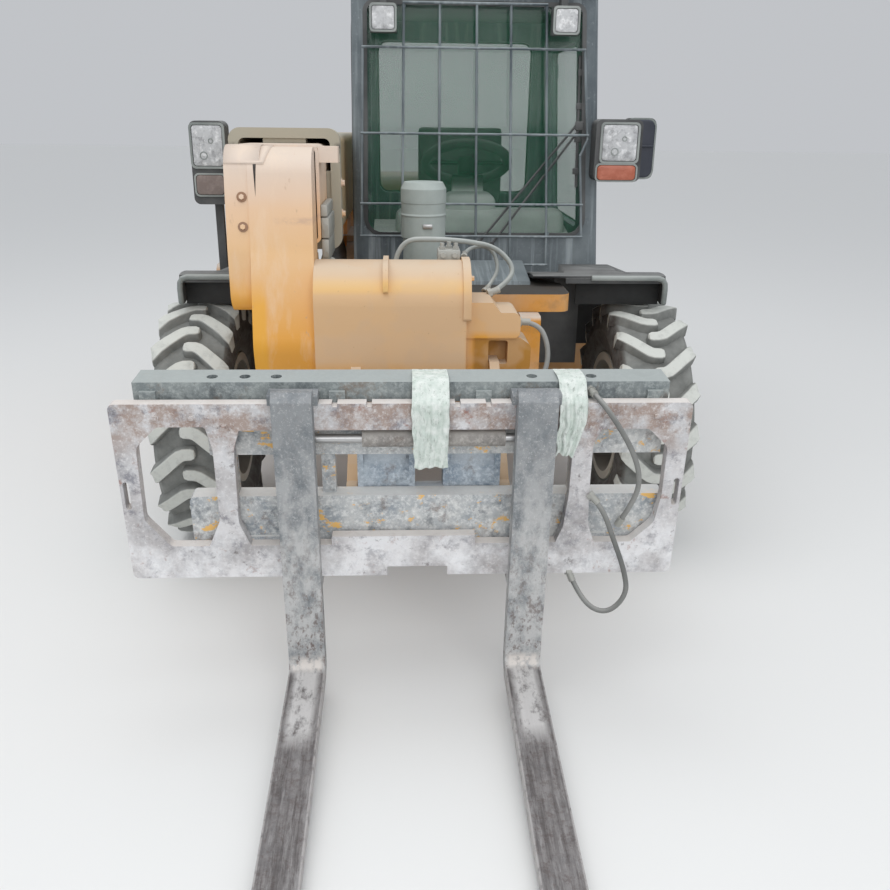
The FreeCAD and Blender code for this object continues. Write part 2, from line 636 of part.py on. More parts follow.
def seat():
    cushion = side_plate([(700, 900, 30), (700, 1010, 40), (1130, 990, 30), (1130, 880, 30)], -10, 430)
    back = side_plate([(1050, 960, 30), (1090, 1540, 30), (1160, 1540, 30), (1170, 940, 30)], -4, 424)
    base = box(60, 360, 760, 1020, FLOOR_Z + 40 + SEAT_GAP, 940)
    return joined([cushion, back, base])


def dash():
    top = side_plate([(115, 980, 20), (115, 1110, 30), (330, 1150, 40), (360, 1000, 40)], -200, 600)
    column = side_plate([(250, 1100), (330, 1330, 20), (400, 1310, 20), (345, 1080)], 130, 260)
    foot = box(-150, 500, 340, 380, FLOOR_Z + 40 + SEAT_GAP, 1010)
    wheel = Part.makeTorus(175, 15, Vector(195, 420, 1370), Vector(0, 0.55, 1))
    axis = Vector(0, 0.55, 1).normalize()
    hub = rod_between(Vector(195, 420, 1370) - axis * 60, Vector(195, 420, 1370) + axis * 12, 38)
    spokes = rod_x(20, 370, 420, 1370, 9)
    column = column.fuse(rod_between(Vector(195, 420, 1370) - axis * 150, Vector(195, 420, 1370), 22))
    return joined([top, column, foot, wheel, hub, spokes])


def guard_bar(start, end, radius, ahead):
    """A round bar of the guard between two points (x, z) of its leaning plane."""
    points = [Vector(x, cab_front_at(z) - 34 - ahead, z) for x, z in (start, end)]
    return rod_between(points[0], points[1], radius)


def screen_guard():
    bars = []
    # foot and head of each upright as x, z
    for foot, head in (((-246, 1111), (-226, 1793)), ((-83, 1111), (-73, 1948)), ((62, 1111), (60, 1948)),
                       ((211, 1000), (196, 1948)), ((349, 1000), (323, 1948)), ((497, 1000), (455, 1948)),
                       ((633, 1111), (611, 1420)), ((611, 1420), (636, 1479)), ((636, 1479), (605, 1797)),
                       ((-141, 1004), (-139, 1111))):
        bars.append(guard_bar(foot, head, 5, 0))
    for left, right, z in ((-73, 455, 1948), (-226, 605, 1797), (-236, 636, 1495), (-243, 628, 1235),
                           (-246, 633, 1111), (211, 497, 1000)):
        bars.append(guard_bar((left - 4, z), (right + 4, z), 4.6, 3.7))
    for x, z in ((611, 1420), (636, 1479)):
        bars.append(Part.makeSphere(6, Vector(x, cab_front_at(z) - 34, z)))
    for x, z in ((-83, 1123), (497, 1123), (-73, 1936), (455, 1936), (349, 1014)):
        bars.append(rod_y(cab_front_at(z) - 34, cab_front_at(z - 7) - SEAT_GAP, x, z, 7))
    return joined(bars)


def work_lamps():
    lamps = []
    for x in (-148, 518):
        lamp = box(x - 48, x + 48, -44, 16, CAB_TOP_Z - 143, CAB_TOP_Z - 49)
        behind = cab_front_at(CAB_TOP_Z - 55) - SEAT_GAP
        stub = box(x - 12, x + 12, 15, behind, CAB_TOP_Z - 55, CAB_TOP_Z - 9)
        lamps.append(joined([lamp, stub]))
    return Part.makeCompound(lamps)


def head_lamps():
    """The right one hangs on the cab, the left one stands on the mudguard."""
    right = front_plate(square(656, 836, 1328, 1555, 24), -36, 54)
    arm = box(cab_width_at(1430)[1] + SEAT_GAP, 706, 50, 150, 1430, 1460)
    left = front_plate(square(-875, -744, 1232, 1533, 24), -36, 54)
    stalk = box(-815, -785, 40, 70, 900, 1240)
    foot = box(-840, -760, 20, 90, 880, 960)
    clear = rod_x(-900, -600, FRONT_AXLE_Y, AXLE_Z, ARCH_RADIUS + GUARD_WALL + SEAT_GAP)
    left = joined([left, stalk, foot]).cut(clear)
    return Part.makeCompound([joined([right, arm]), left])


def mirrors():
    glass = front_plate(square(800, 925, 1330, 1560, 24), 110, 150)
    arm = box(cab_width_at(1470)[1] + SEAT_GAP, 830, 120, 140, 1470, 1490)
    return joined([glass, arm])


def engine_cover():
    outer = side_plate([(1320, 930, 20), (1320, 1250, 80), (2150, 1230, 120), (2326, 1020, 60), (2326, 930, 20)],
                       -230, 345)
    inner = side_plate([(1332, 900), (1332, 1238, 70), (2146, 1218, 110), (2314, 1016, 50), (2314, 900)],
                       -218, 333)
    shell = outer.cut(inner)
    for x in COVER_HINGE_X:
        ear = rod_x(x - 16, x + 16, COVER_HINGE_Y, COVER_HINGE_Z, 14)
        ear = ear.fuse(box(x - 16, x + 16, 2318, COVER_HINGE_Y, COVER_HINGE_Z - 10, COVER_HINGE_Z + 10))
        shell = shell.fuse(ear).cut(rod_x(x - 17, x + 17, COVER_HINGE_Y, COVER_HINGE_Z, 7 + PIN_FIT))
    return shell


# Boom

def boom_outer():
    half_w, half_h = OUTER_WIDTH / 2, OUTER_HEIGHT / 2
    z = BOOM_PIVOT_Z
    skin = front_plate(square(BOOM_X - half_w, BOOM_X + half_w, z - half_h, z + half_h, 32),
                       OUTER_MOUTH_Y, OUTER_TAIL_Y)
    wall = OUTER_WALL
    hollow = front_plate(square(BOOM_X - half_w + wall, BOOM_X + half_w - wall, z - half_h + wall,
                                z + half_h - wall, 20), OUTER_MOUTH_Y - 1, OUTER_TAIL_Y - wall)
    tube = skin.cut(hollow)
    collar = front_plate(square(BOOM_X - half_w - 20, BOOM_X + half_w + 20, z - half_h - 20, z + half_h + 20, 40),
                         OUTER_MOUTH_Y, OUTER_MOUTH_Y + 60)
    collar = collar.cut(front_plate(square(BOOM_X - half_w + 2, BOOM_X + half_w - 2, z - half_h + 2,
                                           z + half_h - 2, 30), OUTER_MOUTH_Y - 1, OUTER_MOUTH_Y + 61))
    pads = [collar]
    gap_x = (OUTER_WIDTH - INNER_WIDTH) / 2 - wall
    gap_z = (OUTER_HEIGHT - INNER_HEIGHT) / 2 - wall
    inner_w, inner_h = INNER_WIDTH / 2, INNER_HEIGHT / 2
    for y in (OUTER_MOUTH_Y + 10, OUTER_MOUTH_Y + 420):
        for way in (1, -1):
            side = sorted((BOOM_X + way * (inner_w + SEAT_GAP), BOOM_X + way * (inner_w + gap_x + 1)))
            pads.append(box(side[0], side[1], y, y + 80, z - 60, z + 60))
            level = sorted((z + way * (inner_h + SEAT_GAP), z + way * (inner_h + gap_z + 1)))
            pads.append(box(BOOM_X - 70, BOOM_X + 70, y, y + 80, level[0], level[1]))
    boss = rod_x(BOOM_X - half_w, BOOM_X + half_w, BOOM_PIVOT_Y, z, BOOM_PIN_RADIUS + 24)
    tube = joined([tube, boss] + pads)
    tube = tube.cut(rod_x(BOOM_X - 200, BOOM_X + 200, BOOM_PIVOT_Y, z, BOOM_PIN_RADIUS + PIN_FIT))
    tube = boom_slope(tube)
    eye_y, eye_z = LIFT_EYE
    low_z = z - half_h + (BOOM_PIVOT_Y - eye_y) * math.tan(math.radians(BOOM_SLOPE))
    ears = []
    for x0 in (BOOM_X - 66, BOOM_X + 46):
        ears.append(side_plate([(eye_y - 110, low_z + 8), (eye_y - 46, eye_z - 46, 40),
                                (eye_y + 46, eye_z - 46, 40), (eye_y + 110, low_z + 4)], x0, x0 + 20))
    ears.append(rod_x(BOOM_X - 76, BOOM_X - 66, eye_y, eye_z, 30))
    ears.append(rod_x(BOOM_X + 66, BOOM_X + 76, eye_y, eye_z, 30))
    return joined([tube] + ears)


def boom_inner():
    half_w, half_h = INNER_WIDTH / 2, INNER_HEIGHT / 2
    z = BOOM_PIVOT_Z
    skin = front_plate(square(BOOM_X - half_w, BOOM_X + half_w, z - half_h, z + half_h, 24),
                       HEAD_FRONT_Y + 130, INNER_TAIL_Y)
    wall = INNER_WALL
    hollow = front_plate(square(BOOM_X - half_w + wall, BOOM_X + half_w - wall, z - half_h + wall,
                                z + half_h - wall, 14), HEAD_FRONT_Y + 129, INNER_TAIL_Y + 1)
    block = box(BOOM_X + half_w - 1, BOOM_X + half_w + 58, -735, -665, z + 96, z + 143)
    return boom_slope(skin.cut(hollow).fuse(block))


def boom_head():
    """The bent head that brings the boom down to the torsion beam."""
    left, seam_y = BOOM_X - INNER_WIDTH / 2, HEAD_FRONT_Y + 150
    profile = [(HEAD_FRONT_Y + 30, HEAD_TOP_Z, 80), (HEAD_FRONT_Y - 5, 1180, 200),
               (TUBE_FRONT_Y + 20, 900, 120), (TUBE_FRONT_Y + 40, SKIRT_LOW_Z, 10),
               (-740, SKIRT_LOW_Z, 60), (-700, 1100, 20), (seam_y, 1150, 4), (seam_y, HEAD_TOP_Z, 4)]
    neck = side_plate(profile, NECK_LEFT + 4, NECK_RIGHT)
    cheek_profile = [(HEAD_FRONT_Y + 34, HEAD_TOP_Z + 3, 70), (HEAD_FRONT_Y - 1, 1180, 200),
                     (HEAD_FRONT_Y - 4, 1000, 60), (-790, 985, 40), (seam_y, 1130, 10),
                     (seam_y, HEAD_TOP_Z + 3, 4)]
    cheek = side_plate(cheek_profile, left, NECK_LEFT + 40)
    beyond = boom_slope(box(-900, 0, HEAD_FRONT_Y + 130 - SEAT_GAP, 0, 1105, 1700))
    return joined([neck, cheek]).cut(beyond)


def torsion_beam():
    left, right = NECK_RIGHT + SEAT_GAP, TUBE_RIGHT
    centre_y = TUBE_FRONT_Y + TUBE_RADIUS
    centre_z = TUBE_TOP_Z - TUBE_RADIUS
    back_y = centre_y + 110
    body = side_plate([(TUBE_FRONT_Y, SKIRT_LOW_Z, 6), (TUBE_FRONT_Y, TUBE_TOP_Z, TUBE_RADIUS - 1),
                       (back_y, TUBE_TOP_Z, 100), (back_y, 850, 40), (TUBE_FRONT_Y + 30, 850, 10),
                       (TUBE_FRONT_Y + 30, SKIRT_LOW_Z, 6)], left, right)
    flange = side_plate([(TUBE_FRONT_Y - 8, 985, 10), (TUBE_FRONT_Y - 8, TUBE_TOP_Z + 8, TUBE_RADIUS),
                         (back_y + 8, TUBE_TOP_Z + 8, 100), (back_y + 8, 985, 10)], right - 10, right + 14)
    ring = side_plate([(TUBE_FRONT_Y - 7, 1070, 6), (TUBE_FRONT_Y - 7, TUBE_TOP_Z + 7, 74),
                       (back_y + 7, TUBE_TOP_Z + 7, 74), (back_y + 7, 1070, 6)], -142, -126)
    end_box = front_plate([(right, 925, 4), (right, 1035, 4), (190, 1035, 6), (214, 1004, 10),
                           (276, 1004, 24), (276, 925, 20)], TUBE_FRONT_Y + 30, -760)
    housing = front_plate([(right, 800, 20), (right, 926, 2), (276, 926, 10), (312, 900, 20), (312, 820, 20)],
                          TUBE_FRONT_Y + 40, -770)
    window = front_plate(square(180, 240, 842, 916, 8), TUBE_FRONT_Y + 20, -860)
    arms = []
    for middle in (HITCH_X - ARM_X, HITCH_X + ARM_X):
        profile = [(-900, 855), (-720, 855), (-720, 800, 40), (-1180, 510, 60), (TILT_Y, TILT_Z - 38),
                   (TILT_Y, TILT_Z + 38), (-1240, 640, 40), (-1000, 810, 60), (-940, 855)]
        x0, x1 = middle - ARM_THICK / 2, middle + ARM_THICK / 2
        arms.append(side_plate(profile, x0, x1).fuse(rod_x(x0, x1, TILT_Y, TILT_Z, 47)))
    ears = []
    base_y, base_z = TILT_BASE
    for x0 in (HITCH_X - 54, HITCH_X + 38):
        ears.append(side_plate([(base_y - 150, 855), (base_y - 30, base_z - 34, 30),
                                (base_y + 36, base_z - 34, 30), (base_y + 10, 855)], x0, x0 + 16))
    pin = rod_x(HITCH_X - 54, HITCH_X + 54, base_y, base_z, TILT_PIN_RADIUS)
    shape = joined([body, flange, ring, end_box, housing.cut(window), pin] + arms + ears)
    for middle in (HITCH_X - ARM_X, HITCH_X + ARM_X):
        shape = shape.cut(rod_x(middle - 30, middle + 30, TILT_Y, TILT_Z, 30 + PIN_FIT))
    return shape


# Carriage, drawn upright

def hitch():
    """Quick hitch: cross tube with pins, rolled front plate and cylinder ears."""
    reach = ARM_X - ARM_THICK / 2 - 4
    left, right = HITCH_X - reach, HITCH_X + reach
    tube = rod_x(left, right, TILT_Y, TILT_Z, 44)
    pin = rod_x(HITCH_X - ARM_X - 16, HITCH_X + ARM_X + 16, TILT_Y, TILT_Z, 30)
    rolled = rod_x(left, right, TILT_Y + 20, TILT_Z + 80, 72.7).cut(
        rod_x(left - 1, right + 1, TILT_Y + 20, TILT_Z + 80, 60))
    rolled = rolled.common(box(left - 1, right + 1, TILT_Y - 80, TILT_Y - 10, TILT_Z - 10, TILT_Z + 150))
    rolled = rolled.cut(box(HITCH_X - 38, HITCH_X + 38, TILT_Y - 80, TILT_Y, TILT_Z + 60, TILT_Z + 160))
    pieces = [tube, pin, rolled]
    eye_y, eye_z = TILT_EYE
    for x0 in (left, HITCH_X - 54, HITCH_X + 38, right - 16):
        pieces.append(side_plate([(TILT_Y + 34, TILT_Z, 20), (eye_y + 34, eye_z + 30, 24),
                                  (BAR_BACK_Y + 62, eye_z + 60, 10), (BAR_BACK_Y + 62, 480, 10),
                                  (TILT_Y, 500, 20)], x0, x0 + 16))
    pieces.append(rod_x(HITCH_X - 62, HITCH_X - 54, eye_y, eye_z, 24))
    pieces.append(rod_x(HITCH_X + 54, HITCH_X + 62, eye_y, eye_z, 24))
    return carriage_lean(joined(pieces))


def rear_frame():
    """The fixed frame that the side shift runs on."""
    back = BAR_BACK_Y + 62
    low, top = FRAME_LOW_Z, FRAME_LOW_Z + FRAME_HEIGHT
    lower = front_plate([(-650, low + 88, 12), (548, low + 88, 6), (612, low + 179, 6), (622, low + 226, 8),
                         (-650, low + 226, 16)], BAR_BACK_Y + 10, back)
    upper = box(-586, 598, BAR_BACK_Y + 20, back, top - 164, top - 74)
    pieces = [lower, upper]
    for x in (-540, -282, 252, 379):
        pieces.append(box(x - 18, x + 18, BAR_BACK_Y + 30, back, low + 204, top - 159))
    for x in (-450, 420):
        pieces.append(box(x - 50, x + 50, BAR_BACK_Y + SEAT_GAP, BAR_BACK_Y + 30, top - 89, top - 58))
        pieces.append(box(x - 50, x + 50, BAR_BACK_Y + SEAT_GAP, BAR_BACK_Y + 30, low + 90, low + 108))
    return carriage_lean(joined(pieces))


def side_shift_barrel():
    barrel = rod_x(-189, 178, SHIFT_ROD_Y, SHIFT_ROD_Z, 22)
    foot_back = BAR_BACK_Y + 20 - SEAT_GAP
    feet = [box(x - 16, x + 16, SHIFT_ROD_Y, foot_back, SHIFT_ROD_Z - 18, SHIFT_ROD_Z + 18)
            for x in (-150, 140)]
    bore = rod_x(-200, 200, SHIFT_ROD_Y, SHIFT_ROD_Z, 12 + PIN_FIT)
    return carriage_lean(joined([barrel] + feet).cut(bore))


def shift_frame():
    """Front frame of the side shift: two bars, two end plates and two struts."""
    middle = HITCH_X + SHIFT_REST
    left, right = middle - FRAME_WIDTH / 2, middle + FRAME_WIDTH / 2
    top_z = FRAME_LOW_Z + FRAME_HEIGHT
    plate = front_plate(square(left, right, FRAME_LOW_Z, top_z, 16), BAR_FRONT_Y, BAR_BACK_Y)
    low, mid = FRAME_LOW_Z, FRAME_LOW_Z + 244
    holes = [
        # left of the left strut, between the struts, right of the right strut
        [(left + 112, top_z - 62, 20), (left + 55, top_z - 118, 40), (left + 50, low + 179, 30),
         (left + 112, low + 99, 20), (middle - 520, low + 99, 4), (middle - 487, low + 176, 30),
         (middle - 486, top_z - 124, 30), (middle - 500, top_z - 62, 10)],
        [(middle - 411, low + 99, 4), (middle - 438, low + 169, 30), (middle - 433, top_z - 124, 30),
         (middle - 417, top_z - 72, 6), (middle + 425, top_z - 72, 6), (middle + 433, top_z - 114, 20),
         (middle + 432, mid, 60), (middle + 424, low + 149, 30), (middle + 406, low + 99, 4),
         (middle + 188, low + 99, 2), (middle + 188, low + 124, 3), (middle - 197, low + 124, 3),
         (middle - 197, low + 99, 2)],
        [(middle + 504, top_z - 72, 8), (middle + 485, top_z - 114, 30), (middle + 486, mid, 60),
         (middle + 491, low + 156, 30), (middle + 511, low + 99, 4), (right - 121, low + 99, 20),
         (right - 62, low + 159, 40), (right - 51, mid, 60), (right - 52, top_z - 124, 30),
         (right - 107, top_z - 72, 20)],
        # foot notch and the upright slot in each end plate
        [(middle - 50, low - 6, 0), (middle - 50, low + 28, 3), (middle + 114, low + 28, 3),
         (middle + 114, low - 6, 0)],
        [(right - 23, low + 212, 7), (right - 8, low + 212, 7), (right - 8, low + 292, 7),
         (right - 23, low + 292, 7)],
        [(left + 8, low + 212, 7), (left + 23, low + 212, 7), (left + 23, low + 292, 7), (left + 8, low + 292, 7)]]
    for x in (-255, -169, 53, 131):
        holes.append([(x - 7, top_z - 9, 1), (x + 7, top_z - 9, 1), (x + 7, top_z + 1, 0), (x - 7, top_z + 1, 0)])
    for hole in holes:
        plate = plate.cut(front_plate(hole, BAR_FRONT_Y - 1, BAR_BACK_Y + 1))
    for x0 in LUG_X:
        plate = plate.fuse(box(x0, x0 + 33, BAR_FRONT_Y + 4, BAR_BACK_Y, SHIFT_ROD_Z - 20, top_z - 60))
    return carriage_lean(plate)


def top_beam():
    middle = HITCH_X + SHIFT_REST
    top_z = FRAME_LOW_Z + FRAME_HEIGHT
    beam = box(middle - 677, middle + 677, BAR_BACK_Y + 10, BAR_BACK_Y + 100, top_z - 12, top_z + 42)
    links = []
    for x in (middle - 640, middle - 170, middle + 200, middle + 640):
        links.append(box(x - 20, x + 20, BAR_BACK_Y + SEAT_GAP, BAR_BACK_Y + 12, top_z - 50, top_z + 20))
    for x in (-566, -484, -405, 247, 401):
        beam = beam.cut(rod_z(top_z - 20, top_z + 50, x, BAR_BACK_Y + 50, 14))
    return carriage_lean(joined([beam] + links))


def side_shift_rod():
    rod = rod_x(LUG_X[0] + 33 + SEAT_GAP, LUG_X[1] - SEAT_GAP, SHIFT_ROD_Y, SHIFT_ROD_Z, 12)
    return carriage_lean(rod)


def fork(x):
    """An L-shaped fork arm with hooks over the two bars of the frame."""
    front = BAR_FRONT_Y - FORK_THICK - SEAT_GAP
    back = BAR_FRONT_Y - SEAT_GAP
    tip_y = front - FORK_LENGTH
    profile = [(back, FORK_TOP_Z, 4), (front + 20, FORK_TOP_Z, 4), (front, FORK_TOP_Z - 20, 6),
               (front, BLADE_TOP_Z, 30),
               (tip_y, BLADE_TOP_Z, 3), (tip_y, BLADE_TOP_Z - 9, 3), (front - 500, BLADE_TOP_Z - 36, 60),
               (back, BLADE_TOP_Z - 44, 60)]
    shank = side_plate(profile, x - FORK_WIDTH / 2, x + FORK_WIDTH / 2)
    top_z = FRAME_LOW_Z + FRAME_HEIGHT
    ear = FORK_WIDTH / 2 + 12
    hook = side_plate([(back - 14, top_z + SEAT_GAP, 2), (back - 14, FORK_TOP_Z - 12, 6),
                       (BAR_BACK_Y + 8, FORK_TOP_Z - 12, 8), (BAR_BACK_Y + 8, top_z - 8, 2),
                       (BAR_BACK_Y + SEAT_GAP, top_z - 8, 2), (BAR_BACK_Y + SEAT_GAP, top_z + SEAT_GAP)],
                      x - ear, x + ear)
    low = FRAME_LOW_Z
    lower = side_plate([(back - 1, low - SEAT_GAP), (back - 1, low - 34, 2), (BAR_BACK_Y + 20, low - 34, 6),
                        (BAR_BACK_Y + 20, low + 20, 2), (BAR_BACK_Y + SEAT_GAP, low + 20, 2),
                        (BAR_BACK_Y + SEAT_GAP, low - SEAT_GAP)], x - FORK_WIDTH / 2, x + FORK_WIDTH / 2)
    return carriage_lean(joined([shank, hook, lower]))


def wraps():
    """Two cloths that hang over the top beam and the front bar."""
    top_z = FRAME_LOW_Z + FRAME_HEIGHT
    beam_top = top_z + 42
    cloth = 11
    front = BAR_FRONT_Y - 1
    back = BAR_BACK_Y + 101
    shapes = []
    # left and right edge, and the height of the front hem
    for x0, x1, hem in ((-62, 28, 727), (313, 377, 768)):
        profile = [(back, 905), (back, beam_top + 1, 2), (BAR_BACK_Y + 9, beam_top + 1, 2),
                   (front, top_z + 2, 2), (front, hem), (front - cloth, hem),
                   (front - cloth, top_z + 7, 10), (BAR_BACK_Y + 4, beam_top + 1 + cloth, 10),
                   (back + cloth, beam_top + 1 + cloth, 10), (back + cloth, 905)]
        shapes.append(side_plate(profile, x0, x1))
    return carriage_lean(Part.makeCompound(shapes))


# Hydraulic cylinders: each is drawn from its foot to its eye at rest.

PISTON_LENGTH = 22
GLAND_LENGTH = 27


def cylinder_barrel(x, foot, eye, length, bore, wall, rod_radius, pin_radius, width):
    start = Vector(x, foot[0], foot[1])
    axis = (Vector(x, eye[0], eye[1]) - start).normalize()
    barrel = rod_between(start + axis * 30, start + axis * length, bore + wall)
    barrel = barrel.cut(rod_between(start + axis * 58, start + axis * (length - GLAND_LENGTH), bore))
    barrel = barrel.cut(rod_between(start + axis * 70, start + axis * (length + 1), rod_radius + PIN_FIT))
    collar = rod_between(start + axis * (length - 40), start + axis * length, bore + wall + 6)
    collar = collar.cut(rod_between(start + axis * (length - 41), start + axis * (length + 1), bore + wall - 1))
    ring = rod_x(x - width / 2, x + width / 2, foot[0], foot[1], bore + wall - 4)
    shape = joined([barrel, collar, ring])
    return shape.cut(rod_x(x - width, x + width, foot[0], foot[1], pin_radius + PIN_FIT))


def cylinder_rod(x, foot, eye, inside, bore, radius, eye_radius, pin_reach, width):
    """Its pin's ends stop short of the ears, so that the eye may drift a little."""
    start = Vector(x, foot[0], foot[1])
    end = Vector(x, eye[0], eye[1])
    axis = (end - start).normalize()
    rod = rod_between(start + axis * inside, end - axis * (eye_radius - 6), radius)
    piston = rod_between(start + axis * inside, start + axis * (inside + PISTON_LENGTH), bore - SEAT_GAP)
    ring = rod_x(x - width / 2, x + width / 2, eye[0], eye[1], eye_radius)
    pin = rod_x(x - pin_reach, x + pin_reach, eye[0], eye[1], eye_radius * 0.55)
    return joined([rod, piston, ring, pin])


# Hoses: each is drawn through its route's points, with an arc at every corner.

HOSE_RADIUS = 8
THIN_HOSE_RADIUS = 6
CARRIAGE_HOSE_RADIUS = 7
HOSES = (
    # node, radius, route of (x, y, z) from its exit to its far end
    ("boom_hose_long", HOSE_RADIUS,
     ((-342, -680, 1130), (-230, -690, 1100), (-120, -690, 1064), (-88, -690, 1190), (20, -700, 1194),
      (125, -690, 1186), (222, -695, 1168), (282, -735, 1100), (222, -778, 1048), (176, -790, 1018))),
    ("boom_hose_loop", THIN_HOSE_RADIUS,
     ((112, -722, 1138), (122, -655, 1160), (205, -650, 1168), (232, -690, 1100), (196, -725, 1050),
      (165, -765, 1022))),
    ("boom_hose_black", HOSE_RADIUS,
     ((268, -850, 960), (338, -862, 962), (372, -890, 895), (362, -925, 815), (305, -958, 758),
      (208, -968, 735))),
    ("hose_upper", CARRIAGE_HOSE_RADIUS,
     ((392, -1414, 914), (405, -1480, 908), (452, -1502, 848), (505, -1497, 760), (530, -1478, 680),
      (524, -1450, 610), (505, -1425, 552))),
    ("hose_lower", CARRIAGE_HOSE_RADIUS,
     ((400, -1428, 640), (440, -1460, 600), (470, -1482, 520), (505, -1490, 430), (522, -1486, 350),
      (470, -1478, 283), (400, -1462, 318), (368, -1408, 394))))


def hose(name, radius, route):
    points = [Vector(*point) for point in route]
    pieces, start, bends = [], points[0], []
    length = 0
    for before, here, after in zip(points, points[1:], points[2:]):
        back, ahead = before - here, after - here
        reach = 0.45 * min(back.Length, ahead.Length)
        half = back.getAngle(ahead) / 2
        bend = reach * math.tan(half)
        bends.append(round(bend / (2 * radius), 1))
        back.normalize()
        ahead.normalize()
        centre = here + (back + ahead).normalize() * (bend / math.sin(half))
        first = here + back * reach
        pieces.append(rod_between(start, first, radius))
        disc = Part.Face(Part.Wire([Part.makeCircle(radius, first, back)]))
        turn = math.pi - 2 * half
        pieces.append(disc.revolve(centre, (first - centre).cross(back * -1), math.degrees(turn)))
        length += (first - start).Length + bend * turn
        start = here + ahead * reach
    pieces.append(rod_between(start, points[-1], radius))
    length += (points[-1] - start).Length
    print(name, "length", round(length), "bends in diameters", bends)
    return joined(pieces)


def largest(shape):
    return max(shape.Solids, key=lambda solid: solid.Volume)


def hose_end():
    """The union on the loose end of the upper hose."""
    last, end = Vector(*HOSES[3][2][-2]), Vector(*HOSES[3][2][-1])
    along = (end - last).normalize()
    return rod_between(end + along * SEAT_GAP, end + along * 28, CARRIAGE_HOSE_RADIUS + 3)


def tail_lamps():
    """Two lamps sunk into the rear face of the counterweight."""
    gap = SEAT_GAP
    lamp = front_plate(square(400 + gap, 476 - gap, 846 + gap, 934 - gap, 6), 2495 + gap, 2512)
    return Part.makeCompound([lamp, mirrored(lamp)])


WHEELS = (("front_left", 1, FRONT_AXLE_Y, 1), ("front_right", -1, FRONT_AXLE_Y, 1),
          ("rear_left", 1, REAR_AXLE_Y, -1), ("rear_right", -1, REAR_AXLE_Y, -1))

whole_tyre = tyre()
for name, side, axle_y, arm_way in WHEELS:
    save("tyre_" + name, moved(whole_tyre, side * WHEEL_X, axle_y, AXLE_Z))
    save("rim_" + name, rim(axle_y) if side > 0 else mirrored(rim(axle_y)))
    save("knuckle_" + name, knuckle(side, axle_y, arm_way))
save("front_axle", axle(FRONT_AXLE_Y, 1))
save("rear_axle", axle(REAR_AXLE_Y, -1))
save("front_steering_rod", steering_rod(FRONT_AXLE_Y, 1))
save("rear_steering_rod", steering_rod(REAR_AXLE_Y, -1))
save("chassis_frame", joined([chassis_frame(), boom_tower()]))
save("mudguards", mudguards())
save("counterweight", counterweight())
save("engine_block", engine_block())
save("side_tank", side_tank())
save("cab_step", cab_step())
save("filter_canister", filter_canister())
save("cab_frame", cab_frame())
save("cab_roof", cab_roof())
save("cab_glass", cab_glass())
save("cab_door", cab_door())
save("door_glass", door_glass())
save("seat", seat())
save("dash", dash())
save("screen_guard", screen_guard())
save("work_lamps", work_lamps())
save("head_lamps", head_lamps())
save("mirrors", mirrors())
save("engine_cover", engine_cover())
save("boom_outer", boom_outer())
save("boom_inner", boom_inner())
save("boom_head", boom_head())
save("torsion_beam", torsion_beam())
save("hitch", hitch())
save("rear_frame", rear_frame())
save("side_shift_barrel", side_shift_barrel())
save("side_shift_rod", side_shift_rod())
save("shift_frame", shift_frame())
save("top_beam", top_beam())
save("fork_left", fork(FORK_LEFT_X))
save("fork_right", fork(FORK_RIGHT_X))
save("lift_cylinder_barrel", cylinder_barrel(BOOM_X, LIFT_BASE, LIFT_EYE, 640, 45, 9, 30, 28, 112))
save("lift_cylinder_rod", cylinder_rod(BOOM_X, LIFT_BASE, LIFT_EYE, 62, 45, 30, 44, 45.5, 66))
save("tilt_cylinder_barrel", cylinder_barrel(HITCH_X, TILT_BASE, TILT_EYE, 400, 28, 7, 18, TILT_PIN_RADIUS, 72))
save("tilt_cylinder_rod", cylinder_rod(HITCH_X, TILT_BASE, TILT_EYE, 180, 28, 18, 34, 37.5, 50))
save("wraps", wraps())
save("tail_lamps", tail_lamps())
save("hose_end", hose_end())
beam = moved(torsion_beam(), 0, SEAT_GAP, SEAT_GAP)
NEIGHBOURS = {"boom_hose_long": beam, "boom_hose_loop": beam,
              "boom_hose_black": moved(torsion_beam(), SEAT_GAP, 0, 0),
              "hose_upper": moved(top_beam(), 0, -SEAT_GAP, 0),
              "hose_lower": moved(shift_frame(), SEAT_GAP, -SEAT_GAP, -SEAT_GAP)}
for name, radius, route in HOSES:
    save(name, largest(hose(name, radius, route).cut(NEIGHBOURS[name])))
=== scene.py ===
import json
import math
import random

import bmesh
import bpy
from mathutils import Matrix, Vector, noise


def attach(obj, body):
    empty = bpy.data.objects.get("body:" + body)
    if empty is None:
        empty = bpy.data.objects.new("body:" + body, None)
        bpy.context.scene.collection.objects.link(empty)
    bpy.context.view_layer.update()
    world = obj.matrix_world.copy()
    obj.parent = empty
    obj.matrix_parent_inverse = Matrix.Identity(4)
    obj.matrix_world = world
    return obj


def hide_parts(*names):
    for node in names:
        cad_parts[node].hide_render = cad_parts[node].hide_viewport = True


# A compact telehandler: its looks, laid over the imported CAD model.
# Metres. The forks point to -Y, the cab is on the +X side, +Z is up.

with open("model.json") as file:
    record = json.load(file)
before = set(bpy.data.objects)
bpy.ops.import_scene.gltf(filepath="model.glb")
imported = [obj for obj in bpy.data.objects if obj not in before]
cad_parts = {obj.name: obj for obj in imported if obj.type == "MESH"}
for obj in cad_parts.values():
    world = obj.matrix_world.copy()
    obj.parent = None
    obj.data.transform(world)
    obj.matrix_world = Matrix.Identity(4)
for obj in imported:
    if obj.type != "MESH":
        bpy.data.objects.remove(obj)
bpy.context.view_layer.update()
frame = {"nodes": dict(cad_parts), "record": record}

BOOM_X = -0.470
TILT_Y, TILT_Z = -1.290, 0.560
CARRIAGE_LEAN = math.radians(4.7)
BOOM_SLOPE = math.radians(1.0)
BOOM_PIVOT = Vector((BOOM_X, 2.050, 1.280))


